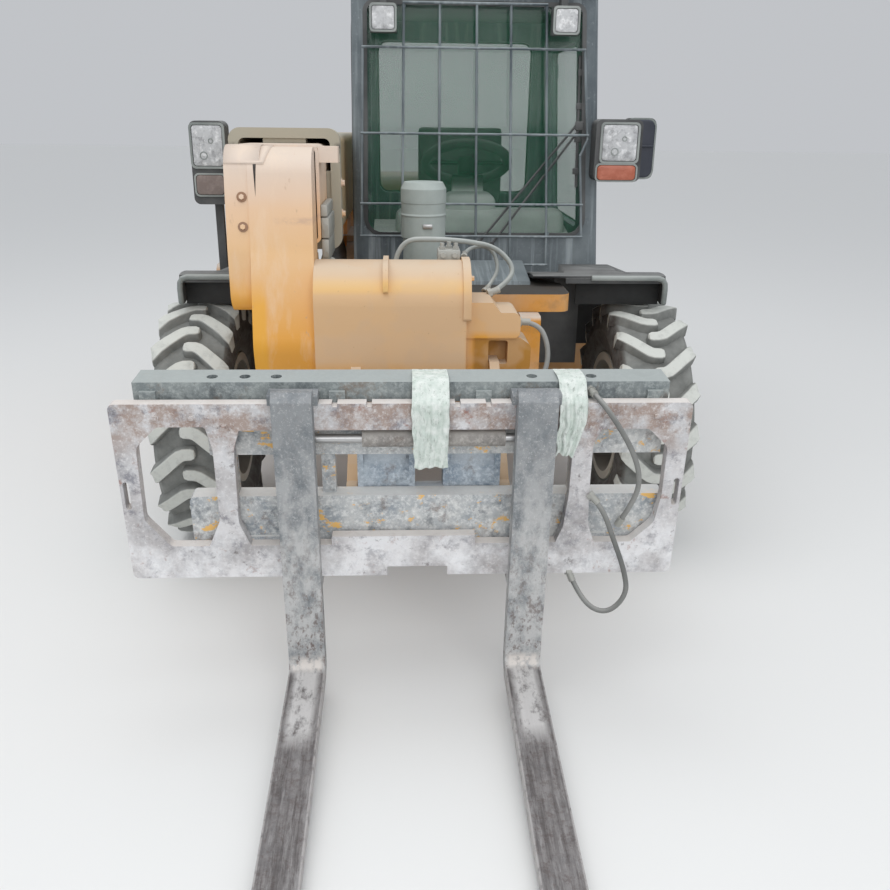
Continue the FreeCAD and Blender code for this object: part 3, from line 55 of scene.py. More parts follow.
def srgb(red, green, blue):
    """Screen colour, 0 to 255, as the linear colour that shaders take."""
    def linear(value):
        value /= 255
        return value / 12.92 if value <= 0.04045 else ((value + 0.055) / 1.055) ** 2.4
    return (linear(red), linear(green), linear(blue), 1.0)


# Finishes

class Finish:
    """A procedural material: colour layers over a base, then roughness and bump."""

    def __init__(self, name, colour, roughness=0.6, metallic=0.0):
        self.material = bpy.data.materials.new(name)
        self.material.use_nodes = True
        self.tree = self.material.node_tree
        self.shader = self.tree.nodes["Principled BSDF"]
        self.shader.inputs["Metallic"].default_value = metallic
        self.coordinates = self.tree.nodes.new("ShaderNodeTexCoord")
        self.place = self.coordinates.outputs["Object"]
        self.colour = srgb(*colour)
        self.roughness = roughness
        self.height = None
        self.material.diffuse_color = srgb(*colour)

    def link(self, value, target):
        """Links a socket, or sets a plain number or colour."""
        if isinstance(value, bpy.types.NodeSocket):
            self.tree.links.new(value, target)
        else:
            target.default_value = value

    def noise(self, size, detail=4.0, rough=0.55, stretch=(1, 1, 1), shift=0.0):
        """Grey noise whose blotches are about size metres across."""
        mapping = self.tree.nodes.new("ShaderNodeMapping")
        mapping.inputs["Scale"].default_value = stretch
        mapping.inputs["Location"].default_value = (shift, shift * 0.7, shift * 1.3)
        self.link(self.place, mapping.inputs["Vector"])
        noise = self.tree.nodes.new("ShaderNodeTexNoise")
        noise.inputs["Scale"].default_value = 1 / size
        noise.inputs["Detail"].default_value = detail
        noise.inputs["Roughness"].default_value = rough
        self.link(mapping.outputs[0], noise.inputs["Vector"])
        return noise.outputs[0]

    def span(self, socket, low, high, start=0.0, end=1.0):
        """Socket's values from low to high, spread from start to end."""
        spread = self.tree.nodes.new("ShaderNodeMapRange")
        spread.clamp = True
        for key, value in (("From Min", low), ("From Max", high), ("To Min", start), ("To Max", end)):
            spread.inputs[key].default_value = value
        self.link(socket, spread.inputs["Value"])
        return spread.outputs[0]

    def maths(self, operation, first, second, clamp=True):
        made = self.tree.nodes.new("ShaderNodeMath")
        made.operation = operation
        made.use_clamp = clamp
        self.link(first, made.inputs[0])
        self.link(second, made.inputs[1])
        return made.outputs[0]

    def painted(self, name):
        """A number kept on the mesh's points."""
        made = self.tree.nodes.new("ShaderNodeAttribute")
        made.attribute_name = name
        return made.outputs["Fac"]

    def both(self, *masks):
        """Masks multiplied."""
        product = masks[0]
        for mask in masks[1:]:
            product = self.maths("MULTIPLY", product, mask)
        return product

    def spot(self, axis):
        split = self.tree.nodes.new("ShaderNodeSeparateXYZ")
        self.link(self.place, split.inputs[0])
        return split.outputs[axis]

    def along(self, axis, low, high, start=0.0, end=1.0):
        """From start to end as the place goes from low to high along an axis."""
        return self.span(self.spot(axis), low, high, start, end)

    def near(self, axis, middle, inner, outer):
        """1 up to inner metres from a middle along an axis, and 0 from outer metres."""
        away = self.maths("SUBTRACT", self.spot(axis), middle, clamp=False)
        return self.span(self.maths("ABSOLUTE", away, 0.0, clamp=False), inner, outer, 1.0, 0.0)

    def facing(self, axis, low, high):
        """0 to 1 as the surface turns towards an axis."""
        split = self.tree.nodes.new("ShaderNodeSeparateXYZ")
        self.link(self.coordinates.outputs["Normal"], split.inputs[0])
        return self.span(split.outputs[axis], low, high)

    def levelled(self):
        """Reads places in the upright carriage's frame from here on."""
        mapping = self.tree.nodes.new("ShaderNodeMapping")
        mapping.inputs["Rotation"].default_value = (-CARRIAGE_LEAN, 0, 0)
        pivot = Vector((0, TILT_Y, TILT_Z))
        mapping.inputs["Location"].default_value = pivot - Matrix.Rotation(-CARRIAGE_LEAN, 3, "X") @ pivot
        self.link(self.place, mapping.inputs["Vector"])
        self.place = mapping.outputs[0]

    def layer(self, colour, mask, roughness=None):
        """Lays a colour over what is there, where the mask is 1."""
        mix = self.tree.nodes.new("ShaderNodeMix")
        mix.data_type = "RGBA"
        self.link(mask, mix.inputs[0])
        self.link(self.colour, mix.inputs[6])
        mix.inputs[7].default_value = srgb(*colour)
        self.colour = mix.outputs[2]
        if roughness is not None:
            rough = self.tree.nodes.new("ShaderNodeMix")
            self.link(mask, rough.inputs[0])
            self.link(self.roughness, rough.inputs[2])
            rough.inputs[3].default_value = roughness
            self.roughness = rough.outputs[0]
        return self

    def relief(self, socket, depth):
        """Bump of that depth in metres."""
        bump = self.tree.nodes.new("ShaderNodeBump")
        bump.inputs["Strength"].default_value = 1.0
        bump.inputs["Distance"].default_value = depth
        self.link(socket, bump.inputs["Height"])
        if self.height is not None:
            self.link(self.height, bump.inputs["Normal"])
        self.height = bump.outputs[0]
        return self

    def done(self):
        self.link(self.colour, self.shader.inputs["Base Color"])
        self.link(self.roughness, self.shader.inputs["Roughness"])
        if self.height is not None:
            self.link(self.height, self.shader.inputs["Normal"])
        return self.material


def dusted(name, colour, dust, roughness=0.55, metallic=0.0, film=0.45, settled=0.8, shift=0.0):
    """Paint or plastic under a film of dust that lies thickest on what faces up."""
    finish = Finish(name, colour, roughness, metallic)
    patches = finish.span(finish.noise(0.35, 6, 0.6, shift=shift), 0.35, 0.75, 0.0, film)
    finish.layer(dust, patches, 0.85)
    lying = finish.maths("MULTIPLY", finish.facing(2, 0.25, 0.85), finish.span(
        finish.noise(0.06, 5, 0.6, shift=shift + 3), 0.25, 0.6, settled * 0.6, settled))
    finish.layer(dust, lying, 0.9)
    return finish


CREAM_DUST = (224, 196, 164)
WHITE_DUST = (196, 196, 192)


def boom_paint():
    """Yellow low down, under cream and then whitish dust higher up."""
    finish = Finish("boom_paint", (224, 160, 66), 0.45)
    haze = finish.span(finish.noise(0.4, 5, 0.6), 0.3, 0.7, 0.80, 1.0)
    finish.layer((224, 186, 142), finish.both(haze, finish.along(2, 0.93, 1.14)), 0.75)
    finish.layer((222, 192, 166), finish.both(haze, finish.along(2, 1.18, 1.34), 0.9), 0.8)
    finish.layer((214, 199, 186), finish.both(haze, finish.along(2, 1.30, 1.44)), 0.85)
    finish.layer((208, 192, 176), finish.both(finish.facing(2, 0.35, 0.9), 0.85), 0.9)
    streaks = finish.span(finish.noise(0.06, 6, 0.65, stretch=(1, 1, 0.2), shift=5), 0.52, 0.72, 0, 0.4)
    finish.layer((230, 208, 184), streaks, 0.85)
    smear = finish.both(finish.near(2, 1.265, 0.004, 0.014), finish.along(0, -0.47, -0.43),
                        finish.span(finish.noise(0.02, 7, 0.75, stretch=(0.5, 1, 1), shift=2), 0.42, 0.60), 0.6)
    finish.layer((188, 156, 138), smear)
    clean = finish.both(finish.along(0, -0.50, -0.49, 1.0, 0.0), finish.along(2, 1.02, 1.10, 1.0, 0.0), 0.8)
    finish.layer((228, 166, 52), clean, 0.5)
    scuffs = finish.span(finish.noise(0.03, 7, 0.7, stretch=(1, 1, 0.4), shift=9), 0.63, 0.70, 0, 0.7)
    finish.layer((190, 158, 130), scuffs)
    finish.relief(finish.noise(0.004, 3, 0.6), 0.0002)
    return finish.done()


def beam_paint():
    """The cross tube: tan dust with a cleaner band below its top, yellow at the box on its end."""
    finish = Finish("beam_paint", (222, 158, 62), 0.45)
    haze = finish.span(finish.noise(0.3, 5, 0.6), 0.3, 0.7, 0.85, 1.0)
    tube = finish.both(finish.along(0, 0.10, 0.14, 1.0, 0.0), finish.along(2, 0.80, 0.86))
    finish.layer((212, 178, 140), finish.both(haze, tube), 0.75)
    finish.layer((176, 124, 46), finish.both(finish.along(0, 0.128, 0.140), finish.along(2, 0.918, 0.930, 1.0, 0.0)), 0.5)
    finish.layer((214, 176, 132), finish.both(haze, finish.along(2, 0.93, 0.95), 0.8), 0.75)
    band = finish.both(finish.near(2, 1.088, 0.010, 0.028), finish.along(0, 0.10, 0.14, 1.0, 0.0), 0.65)
    finish.layer((230, 184, 104), band, 0.6)
    finish.layer((200, 182, 160), finish.both(finish.facing(2, 0.35, 0.9), 0.9), 0.9)
    finish.layer((204, 174, 142), finish.span(finish.noise(0.16, 3, 0.5, shift=4), 0.50, 0.56, 0, 0.35), 0.8)
    chipped = finish.span(finish.noise(0.02, 6, 0.7, shift=8), 0.66, 0.72, 0, 0.6)
    finish.layer((150, 112, 78), chipped)
    finish.relief(finish.noise(0.004, 3, 0.6), 0.0002)
    return finish.done()


def outer_boom_paint():
    """Grey-beige dust over the yellow, thickest at the mouth and on top."""
    finish = Finish("outer_boom_paint", (212, 154, 72), 0.5)
    haze = finish.span(finish.noise(0.35, 6, 0.6), 0.30, 0.65, 0.55, 1.0)
    finish.layer((176, 166, 140), finish.both(haze, finish.along(1, -0.30, 1.20, 1.0, 0.62)), 0.85)
    finish.layer((162, 158, 144), finish.along(1, -0.44, -0.30, 0.9, 0.0), 0.85)
    finish.layer((188, 184, 172), finish.both(finish.facing(2, 0.35, 0.9), 0.85), 0.9)
    grease = finish.both(finish.along(1, -0.475, -0.44, 1.0, 0.0), finish.near(2, 1.455, 0.008, 0.022),
                         finish.span(finish.noise(0.06, 6, 0.7, shift=6), 0.40, 0.55, 0, 0.9))
    finish.layer((60, 54, 50), grease, 0.5)
    finish.relief(finish.noise(0.004, 3, 0.6), 0.0003)
    return finish.done()


def chassis_paint():
    finish = dusted("chassis_paint", (204, 140, 48), WHITE_DUST, 0.5, film=0.55, settled=0.85, shift=2)
    grime = finish.span(finish.noise(0.12, 6, 0.65, shift=7), 0.55, 0.75, 0, 0.6)
    finish.layer((110, 96, 78), grime, 0.8)
    deck = finish.both(finish.facing(2, 0.5, 0.8), finish.near(1, -0.29, 0.236, 0.240),
                       finish.near(0, 0.06, 0.44, 0.46), 0.92)
    finish.layer((44, 42, 40), deck, 0.7)
    finish.relief(finish.noise(0.005, 3, 0.6), 0.0003)
    return finish.done()


def running_gear():
    finish = dusted("running_gear", (52, 52, 52), (150, 148, 144), 0.7, film=0.8, settled=0.9, shift=4)
    finish.layer((96, 62, 44), finish.span(finish.noise(0.05, 6, 0.7, shift=2), 0.62, 0.75, 0, 0.6), 0.85)
    finish.relief(finish.noise(0.006, 4, 0.65), 0.0008)
    return finish.done()


def cab_paint(name="cab_paint", stretch=(1, 1, 0.05), settled=0.9):
    """Blue-grey, with pale dust that has run down in streaks."""
    finish = dusted(name, (74, 84, 90), (150, 158, 160), 0.5, film=0.7, settled=settled, shift=6)
    runs = finish.span(finish.noise(0.030, 5, 0.62, stretch=stretch, shift=3), 0.50, 0.66, 0, 0.75)
    finish.layer((166, 174, 177), finish.both(runs, finish.along(2, 1.05, 1.20, 1.0, 0.55)), 0.85)
    finish.layer((176, 182, 184), finish.span(finish.noise(0.012, 7, 0.75, shift=1), 0.58, 0.72, 0, 0.5), 0.9)
    finish.relief(finish.noise(0.006, 3, 0.6), 0.0002)
    return finish.done()


def black_plastic():
    finish = dusted("black_plastic", (40, 41, 43), (132, 133, 132), 0.6, film=0.6, settled=0.85, shift=8)
    finish.relief(finish.noise(0.002, 3, 0.6), 0.0003)
    return finish.done()


def worn_steel(name, colour, pale, rust, shift, film=0.7, chips=None):
    """Blue-grey paint that is chalky, scraped and rusty, with paint chips of another colour if asked."""
    finish = Finish(name, colour, 0.6)
    chalk = finish.span(finish.noise(0.11, 7, 0.68, shift=shift), 0.38, 0.62, 0.05, film)
    finish.layer(pale, chalk, 0.85)
    grain = finish.span(finish.noise(0.012, 7, 0.75, shift=shift + 1), 0.46, 0.62, 0, 0.6)
    finish.layer(tuple(min(255, value + 26) for value in pale), grain, 0.9)
    finish.layer(tuple(value * 0.72 for value in colour),
                 finish.span(finish.noise(0.05, 7, 0.72, shift=shift + 4), 0.54, 0.66, 0, 0.7), 0.6)
    finish.layer(rust, finish.span(finish.noise(0.07, 7, 0.74, shift=shift + 5), 0.55, 0.68, 0, 0.8), 0.85)
    if chips:
        patch = finish.both(finish.span(finish.noise(0.045, 7, 0.75, stretch=(0.7, 1, 1), shift=shift + 7), 0.585, 0.60),
                            finish.along(2, 0.45, 0.50))
        finish.layer(chips, patch, 0.6)
    finish.layer(tuple(min(255, value + 14) for value in pale), finish.both(finish.facing(2, 0.4, 0.9), 0.85), 0.9)
    finish.relief(finish.noise(0.006, 5, 0.7), 0.0006)
    return finish.done()


def carriage_steel():
    """Chalky white plates with slate patches, brown along the top bar and rust at the forks."""
    finish = Finish("carriage_steel", (164, 162, 163), 0.7)
    white = finish.both(finish.span(finish.noise(0.14, 7, 0.68), 0.36, 0.58, 0, 1.0),
                        finish.along(2, 0.44, 0.60, 1.0, 0.6))
    finish.layer((230, 230, 231), white, 0.9)
    slate = finish.span(finish.noise(0.055, 7, 0.74, shift=3), 0.53, 0.64, 0, 0.8)
    finish.layer((122, 122, 130), finish.both(slate, finish.along(2, 0.40, 0.55, 0.45, 1.0)), 0.7)
    brown = finish.both(finish.span(finish.noise(0.07, 7, 0.74, shift=9), 0.42, 0.58),
                        finish.along(2, 0.74, 0.82, 0.12, 0.75))
    finish.layer((146, 120, 104), brown, 0.85)
    finish.layer((92, 84, 82), finish.span(finish.noise(0.035, 7, 0.76, shift=5), 0.60, 0.68, 0, 0.75), 0.8)
    rust = finish.span(finish.noise(0.05, 7, 0.74, shift=7), 0.60, 0.70, 0, 0.8)
    finish.layer((146, 100, 84), rust, 0.85)
    finish.layer((226, 224, 223), finish.span(finish.noise(0.010, 7, 0.78, shift=2), 0.52, 0.66, 0, 0.6), 0.9)
    finish.layer((216, 210, 204), finish.both(finish.facing(2, 0.4, 0.9), 0.8), 0.9)
    finish.relief(finish.noise(0.005, 5, 0.7), 0.0008)
    return finish.done()


def fork_steel(name, middle):
    """A chalky slate shank, speckled brown lower down, and a dark worn blade with dust at its heel."""
    finish = Finish(name, (100, 107, 112), 0.5, 0.1)
    finish.levelled()
    chalk = finish.span(finish.noise(0.05, 7, 0.72, stretch=(1, 1, 0.6)), 0.34, 0.56, 0.15, 1.0)
    finish.layer((188, 188, 187), finish.both(chalk, finish.along(2, 0.50, 0.86, 1.0, 0.35)), 0.8)
    finish.layer((206, 206, 204), finish.span(finish.noise(0.007, 7, 0.78, shift=2), 0.54, 0.66, 0, 0.55), 0.85)
    finish.layer((104, 88, 82), finish.both(
        finish.span(finish.noise(0.016, 7, 0.78, stretch=(1, 1, 0.6), shift=4), 0.50, 0.60, 0, 0.85),
        finish.along(2, 0.20, 0.60, 1.0, 0.12)), 0.75)
    blade = finish.both(finish.along(2, 0.116, 0.124, 1.0, 0.0), finish.along(1, -1.490, -1.482, 1.0, 0.0))
    finish.layer((104, 98, 97), blade, 0.5)
    finish.layer((66, 59, 58), finish.both(blade, finish.span(
        finish.noise(0.010, 6, 0.7, stretch=(1, 0.05, 1), shift=6), 0.44, 0.62, 0, 0.85)), 0.45)
    finish.layer((158, 156, 155), finish.both(blade, finish.span(
        finish.noise(0.014, 7, 0.75, stretch=(1, 0.12, 1), shift=8), 0.52, 0.66, 0, 0.8)), 0.6)
    edge = finish.near(0, middle, 0.0445, 0.0475)
    finish.layer((184, 181, 179), finish.both(blade, finish.maths("SUBTRACT", 1.0, edge), finish.span(
        finish.noise(0.03, 6, 0.7, shift=12), 0.35, 0.5, 0.2, 0.9)), 0.7)
    ragged = finish.span(finish.noise(0.03, 6, 0.7, stretch=(1, 0.5, 1), shift=10), 0.34, 0.50)
    patch = finish.both(blade, ragged, finish.near(0, middle, 0.024, 0.042), finish.along(1, -1.80, -1.72))
    finish.layer((216, 214, 212), patch, 0.9)
    heel = finish.both(finish.near(2, 0.135, 0.012, 0.030), finish.near(0, middle, 0.036, 0.050), ragged,
                       finish.along(1, -1.505, -1.490))
    finish.layer((214, 208, 202), heel, 0.9)
    finish.relief(finish.noise(0.006, 6, 0.75), 0.0008)
    return finish.done()


def tyre_rubber():
    """Dusty grooves, pale worn lug tops and a dark inner wall."""
    finish = Finish("tyre_rubber", (104, 106, 103), 0.9)
    film = finish.span(finish.noise(0.05, 6, 0.6), 0.3, 0.7, 0.1, 0.7)
    finish.layer((150, 151, 147), film, 0.95)
    inner = finish.near(0, 0.0, 0.700, 0.716)
    finish.layer((62, 54, 50), finish.both(inner, finish.span(finish.noise(0.03, 6, 0.7, shift=2), 0.35, 0.6, 0.95, 0.6)), 0.9)
    tops = finish.both(finish.span(finish.painted("worn"), 0.90, 1.0), finish.span(
        finish.noise(0.03, 6, 0.65, shift=4), 0.25, 0.50, 0.65, 1.0))
    finish.layer((200, 202, 196), tops, 0.95)
    finish.relief(finish.noise(0.006, 5, 0.7), 0.0014)
    return finish.done()


def window_glass():
    finish = Finish("window_glass", (44, 104, 76), 0.05)
    finish.shader.inputs["Alpha"].default_value = 0.23
    finish.layer((128, 168, 146), finish.span(finish.noise(0.3, 6, 0.6), 0.48, 0.80, 0, 0.5), 0.35)
    return finish.done()


def lamp_lens():
    finish = Finish("lamp_lens", (186, 187, 188), 0.25)
    finish.layer((128, 128, 130), finish.span(finish.noise(0.020, 6, 0.72), 0.48, 0.64, 0, 0.75), 0.35)
    finish.layer((226, 226, 226), finish.span(finish.noise(0.026, 5, 0.65, shift=3), 0.52, 0.66, 0, 0.8), 0.2)
    finish.relief(finish.noise(0.006, 3, 0.6), 0.0012)
    return finish.done()


def coloured_lens(name, colour, shift):
    finish = Finish(name, colour, 0.3)
    finish.layer(tuple(min(255, c + 45) for c in colour),
                 finish.span(finish.noise(0.03, 6, 0.65, shift=shift), 0.45, 0.75, 0, 0.5), 0.5)
    finish.relief(finish.noise(0.005, 3, 0.6), 0.0004)
    return finish.done()


def wrap_cloth():
    finish = Finish("wrap_cloth", (198, 208, 200), 0.95)
    finish.layer((224, 228, 223), finish.span(finish.noise(0.02, 6, 0.65), 0.4, 0.65, 0, 0.9), 0.95)
    finish.layer((146, 154, 146), finish.span(
        finish.noise(0.010, 7, 0.76, stretch=(1, 1, 0.35), shift=6), 0.54, 0.66, 0, 0.8), 0.95)
    finish.relief(finish.noise(0.0035, 6, 0.7), 0.0008)
    finish.relief(finish.noise(0.012, 6, 0.7, stretch=(1, 1, 0.4), shift=2), 0.0030)
    return finish.done()


def plain(name, colour, roughness, metallic=0.0, dust=(170, 170, 168), film=0.4):
    finish = dusted(name, colour, dust, roughness, metallic, film=film, settled=0.6)
    finish.relief(finish.noise(0.004, 3, 0.6), 0.0002)
    return finish.done()


def dash_plastic():
    """The dash in pale grey, near-white lower down: partly dust and partly painted light for the light that does not
    reach into the closed cab; its wheel and column left dark.
    """
    finish = Finish("dash_plastic", (140, 146, 142), 0.6)
    # near-white lower down: pale dust, and painted light in place of the light the closed cab keeps out
    finish.layer((226, 230, 226), finish.both(finish.span(finish.noise(0.2, 6, 0.6), 0.3, 0.6, 0.6, 1.0),
                                              finish.along(2, 1.25, 1.29, 1.0, 0.0)), 0.9)
    finish.layer((16, 17, 18), finish.along(2, 1.26, 1.30), 0.5)
    finish.relief(finish.noise(0.003, 3, 0.6), 0.0003)
    return finish.done()


FINISHES = {
    "boom_paint": boom_paint(),
    "chassis_paint": chassis_paint(),
    "running_gear": running_gear(),
    "cab_paint": cab_paint(),
    "black_plastic": black_plastic(),
    "dusty_grey_paint": worn_steel("dusty_grey_paint", (110, 118, 122), (160, 164, 164), (116, 98, 86), 11),
    "carriage_steel": carriage_steel(),
    "fork_steel": fork_steel("fork_steel", 0.250),
    "chrome_rod": plain("chrome_rod", (196, 196, 196), 0.25, 1.0, film=0.4),
    "cylinder_paint": plain("cylinder_paint", (66, 70, 74), 0.5, film=0.6),
    "tyre_rubber": tyre_rubber(),
    "rim_paint": plain("rim_paint", (190, 182, 166), 0.5, dust=(170, 168, 164), film=0.8),
    "window_glass": window_glass(),
    "seat_fabric": plain("seat_fabric", (44, 45, 48), 0.9, film=0.5),
    "wrap_cloth": wrap_cloth(),
    "hose_rubber": plain("hose_rubber", (94, 95, 93), 0.75, dust=(168, 168, 164), film=0.9),
    "zinc_fitting": plain("zinc_fitting", (156, 156, 150), 0.45, 0.4, dust=(190, 190, 184), film=0.8),
    "lamp_red": coloured_lens("lamp_red", (120, 28, 24), 1),
}

# finishes of single nodes and of pieces that have no slot of their own
BEAM_PAINT = beam_paint()
CANISTER_PAINT = plain("canister_paint", (126, 136, 132), 0.6, dust=(184, 192, 188), film=0.85)
DUSTY_HOSE = plain("dusty_hose", (118, 123, 120), 0.8, dust=(190, 194, 190), film=0.95)
LAMP_EDGE = plain("lamp_edge", (112, 118, 116), 0.6, dust=(176, 180, 176), film=0.9)
LAMP_LENS = lamp_lens()
LAMP_ORANGE = coloured_lens("lamp_orange", (168, 92, 68), 2)
LAMP_DULL = coloured_lens("lamp_dull", (122, 108, 102), 3)
MIRROR_NAVY = plain("mirror_navy", (38, 42, 54), 0.45, dust=(96, 100, 110), film=0.35)
MIRROR_GLASS = plain("mirror_glass", (200, 204, 206), 0.08, 1.0, film=0.3)
APRON_PAINT = cab_paint("apron_paint", (1, 0.04, 0.04), 0.25)
# near-black finish of the strip on the boom head: painted shade of a gap
GAP_SHADE = plain("gap_shade", (48, 40, 34), 0.8, film=0.1)
# near-black finish of the sheets under the mudguards: painted shade
SHADE_SHEET_BLACK = plain("shade_sheet_black", (30, 31, 31), 0.8, film=0.1)
WASHER_BROWN = plain("washer_brown", (146, 108, 78), 0.7, film=0.2)

NODE_FINISHES = {
    "boom_outer": outer_boom_paint(),
    "torsion_beam": BEAM_PAINT,
    "filter_canister": CANISTER_PAINT,
    "dash": dash_plastic(),
    "fork_left": fork_steel("fork_left_steel", -0.357),
    "fork_right": FINISHES["fork_steel"],
    "top_beam": worn_steel("top_beam_paint", (102, 110, 113), (148, 154, 152), (118, 102, 88), 21, 0.7),
    "rear_frame": worn_steel("rear_frame_paint", (142, 149, 155), (206, 206, 203), (120, 104, 96), 31, 0.95,
                             chips=(230, 184, 108)),
    "hitch": worn_steel("hitch_paint", (128, 142, 156), (186, 194, 200), (110, 96, 88), 41, 0.8),
    "side_shift_barrel": worn_steel("shift_barrel_paint", (124, 120, 116), (160, 156, 150), (104, 90, 80), 51),
}

for row in frame["record"]["subparts"]:
    part = frame["nodes"][row["node"]]
    part.data.materials.clear()
    part.data.materials.append(NODE_FINISHES.get(row["node"], FINISHES[row["material_slot"]]))


# Floor, light and camera

def studio():
    floor_mesh = bpy.data.meshes.new("floor")
    shape = bmesh.new()
    bmesh.ops.create_grid(shape, x_segments=1, y_segments=1, size=40)
    shape.to_mesh(floor_mesh)
    shape.free()
    floor = bpy.data.objects.new("floor", floor_mesh)
    bpy.context.collection.objects.link(floor)
    concrete = Finish("floor", (226, 226, 224), 0.9)
    floor_mesh.materials.append(concrete.done())
    world = bpy.context.scene.world or bpy.data.worlds.new("world")
    bpy.context.scene.world = world
    world.use_nodes = True
    links, nodes = world.node_tree.links, world.node_tree.nodes
    light = nodes["Background"]
    light.inputs[0].default_value = (0.92, 0.95, 1.0, 1)
    light.inputs[1].default_value = 0.75
    backdrop = nodes.new("ShaderNodeBackground")
    backdrop.inputs[0].default_value = (0.535, 0.550, 0.575, 1)
    path, chosen = nodes.new("ShaderNodeLightPath"), nodes.new("ShaderNodeMixShader")
    seen = path.outputs["Is Camera Ray"]
    for ray in ("Is Glossy Ray", "Is Transmission Ray"):
        either = nodes.new("ShaderNodeMath")
        either.operation = "MAXIMUM"
        links.new(seen, either.inputs[0])
        links.new(path.outputs[ray], either.inputs[1])
        seen = either.outputs[0]
    links.new(seen, chosen.inputs[0])
    links.new(light.outputs[0], chosen.inputs[1])
    links.new(backdrop.outputs[0], chosen.inputs[2])
    links.new(chosen.outputs[0], nodes["World Output"].inputs[0])
    for name, place, size, power in (("above", (-1.0, -1.5, 6.0), 6.0, 165), ("front", (1.0, -6.5, 3.6), 4.0, 110)):
        lamp = bpy.data.lights.new(name, "AREA")
        lamp.size = size
        lamp.energy = power
        lamp_object = bpy.data.objects.new(name, lamp)
        lamp_object.location = place
        aim = (Vector((0, -0.5, 0.8)) - Vector(place)).to_track_quat("-Z", "Y")
        lamp_object.rotation_euler = aim.to_euler()
        bpy.context.collection.objects.link(lamp_object)
    camera_data = bpy.data.cameras.new("camera")
    camera_data.sensor_fit = "HORIZONTAL"
    camera_data.angle = 2 * math.atan(445 / 880)
    camera = bpy.data.objects.new("camera", camera_data)
    forward = Vector((0.047662, 0.934414, -0.352985)).normalized()
    right = Vector((0.998793, -0.048787, 0.005715)).normalized()
    roll = math.radians(0.35)
    right = (right * math.cos(roll) + right.cross(forward) * math.sin(roll)).normalized()
    up = right.cross(forward)
    turn = Matrix((right, up, -forward)).transposed()
    camera.matrix_world = Matrix.Translation((-0.085, -3.555, 1.570)) @ turn.to_4x4()
    bpy.context.collection.objects.link(camera)
    bpy.context.scene.camera = camera
    bpy.context.scene.view_settings.view_transform = "Standard"


studio()


# Building blocks: each adds closed shells to a bmesh, in place

def block(shape, x, y, z, bevel=0.0, segments=2, turn=None):
    """A box from pairs of x, y and z, with its edges rounded, and turned if asked."""
    middle = Vector((sum(x) / 2, sum(y) / 2, sum(z) / 2))
    size = (x[1] - x[0], y[1] - y[0], z[1] - z[0])
    verts = bmesh.ops.create_cube(shape, size=1)["verts"]
    bmesh.ops.scale(shape, vec=size, verts=verts)
    bmesh.ops.translate(shape, vec=middle, verts=verts)
    if bevel:
        edges = {edge for vert in verts for edge in vert.link_edges}
        made = bmesh.ops.bevel(shape, geom=list(edges) + verts, offset=bevel, offset_type="OFFSET", affect="EDGES",
                               segments=segments, profile=0.5, material=-1)
        verts = made["verts"]
    if turn is not None:
        bmesh.ops.transform(shape, matrix=turn, verts=verts)
    return verts


def rod(shape, start, end, radius, segments=20, far_radius=None):
    """A round bar between two points, with flat ends."""
    start, end = Vector(start), Vector(end)
    axis = end - start
    turn = axis.to_track_quat("Z", "Y").to_matrix().to_4x4()
    matrix = Matrix.Translation((start + end) / 2) @ turn
    far = radius if far_radius is None else far_radius
    return bmesh.ops.create_cone(shape, cap_ends=True, segments=segments, radius1=radius, radius2=far,
                                 depth=axis.length, matrix=matrix)["verts"]


def bolt(shape, place, direction, radius, height, sides=6):
    """A bolt head on its washer."""
    place, direction = Vector(place), Vector(direction).normalized()
    rod(shape, place, place + direction * height * 0.3, radius * 1.5, 20)
    rod(shape, place + direction * height * 0.25, place + direction * height, radius, sides, radius * 0.93)


def ring(shape, profile, centre, axis="X", segments=48):
    """A closed profile of (along the axis, radius) spun about an axis through the centre."""
    rows = []
    for index in range(segments):
        angle = 2 * math.pi * index / segments
        row = []
        for along, radius in profile:
            round_, up = radius * math.sin(angle), radius * math.cos(angle)
            spot = {"X": (along, round_, up), "Y": (round_, along, up), "Z": (round_, up, along)}[axis]
            row.append(shape.verts.new(Vector(centre) + Vector(spot)))
        rows.append(row)
    count = len(profile)
    for here, after in zip(rows, rows[1:] + rows[:1]):
        for index in range(count):
            follow = (index + 1) % count
            shape.faces.new((here[index], here[follow], after[follow], after[index]))


def panel(shape, corners, depth, place):
    """A flat plate from its corners in a plane; place turns (a, b, depth) into a point."""
    near = [shape.verts.new(place(a, b, 0.0)) for a, b in corners]
    far = [shape.verts.new(place(a, b, depth)) for a, b in corners]
    shape.faces.new(near)
    shape.faces.new(list(reversed(far)))
    count = len(corners)
    for index in range(count):
        follow = (index + 1) % count
        shape.faces.new((near[follow], near[index], far[index], far[follow]))


def rounded(x0, x1, y0, y1, radius, steps=5):
    """Corners of a rectangle with round corners, once round."""
    corners = []
    for cx, cy, start in ((x1 - radius, y1 - radius, 0), (x0 + radius, y1 - radius, 90),
                          (x0 + radius, y0 + radius, 180), (x1 - radius, y0 + radius, 270)):
        for step in range(steps + 1):
            angle = math.radians(start + 90 * step / steps)
            corners.append((cx + radius * math.cos(angle), cy + radius * math.sin(angle)))
    return corners


def in_front(y):
    """Places a panel's (x, z, depth) in a plane that faces the forks."""
    return lambda a, b, depth: Vector((a, y - depth, b))


def at_back(y):
    return lambda a, b, depth: Vector((a, y + depth, b))


def leaned(point):
    """A point of the upright carriage, as the tilt leaves it at rest."""
    x, y, z = point
    along, up = y - TILT_Y, z - TILT_Z
    return Vector((x, TILT_Y + along * math.cos(CARRIAGE_LEAN) - up * math.sin(CARRIAGE_LEAN),
                   TILT_Z + along * math.sin(CARRIAGE_LEAN) + up * math.cos(CARRIAGE_LEAN)))


LEAN_MATRIX = (Matrix.Translation((0, TILT_Y, TILT_Z)) @ Matrix.Rotation(CARRIAGE_LEAN, 4, "X")
               @ Matrix.Translation((0, -TILT_Y, -TILT_Z)))


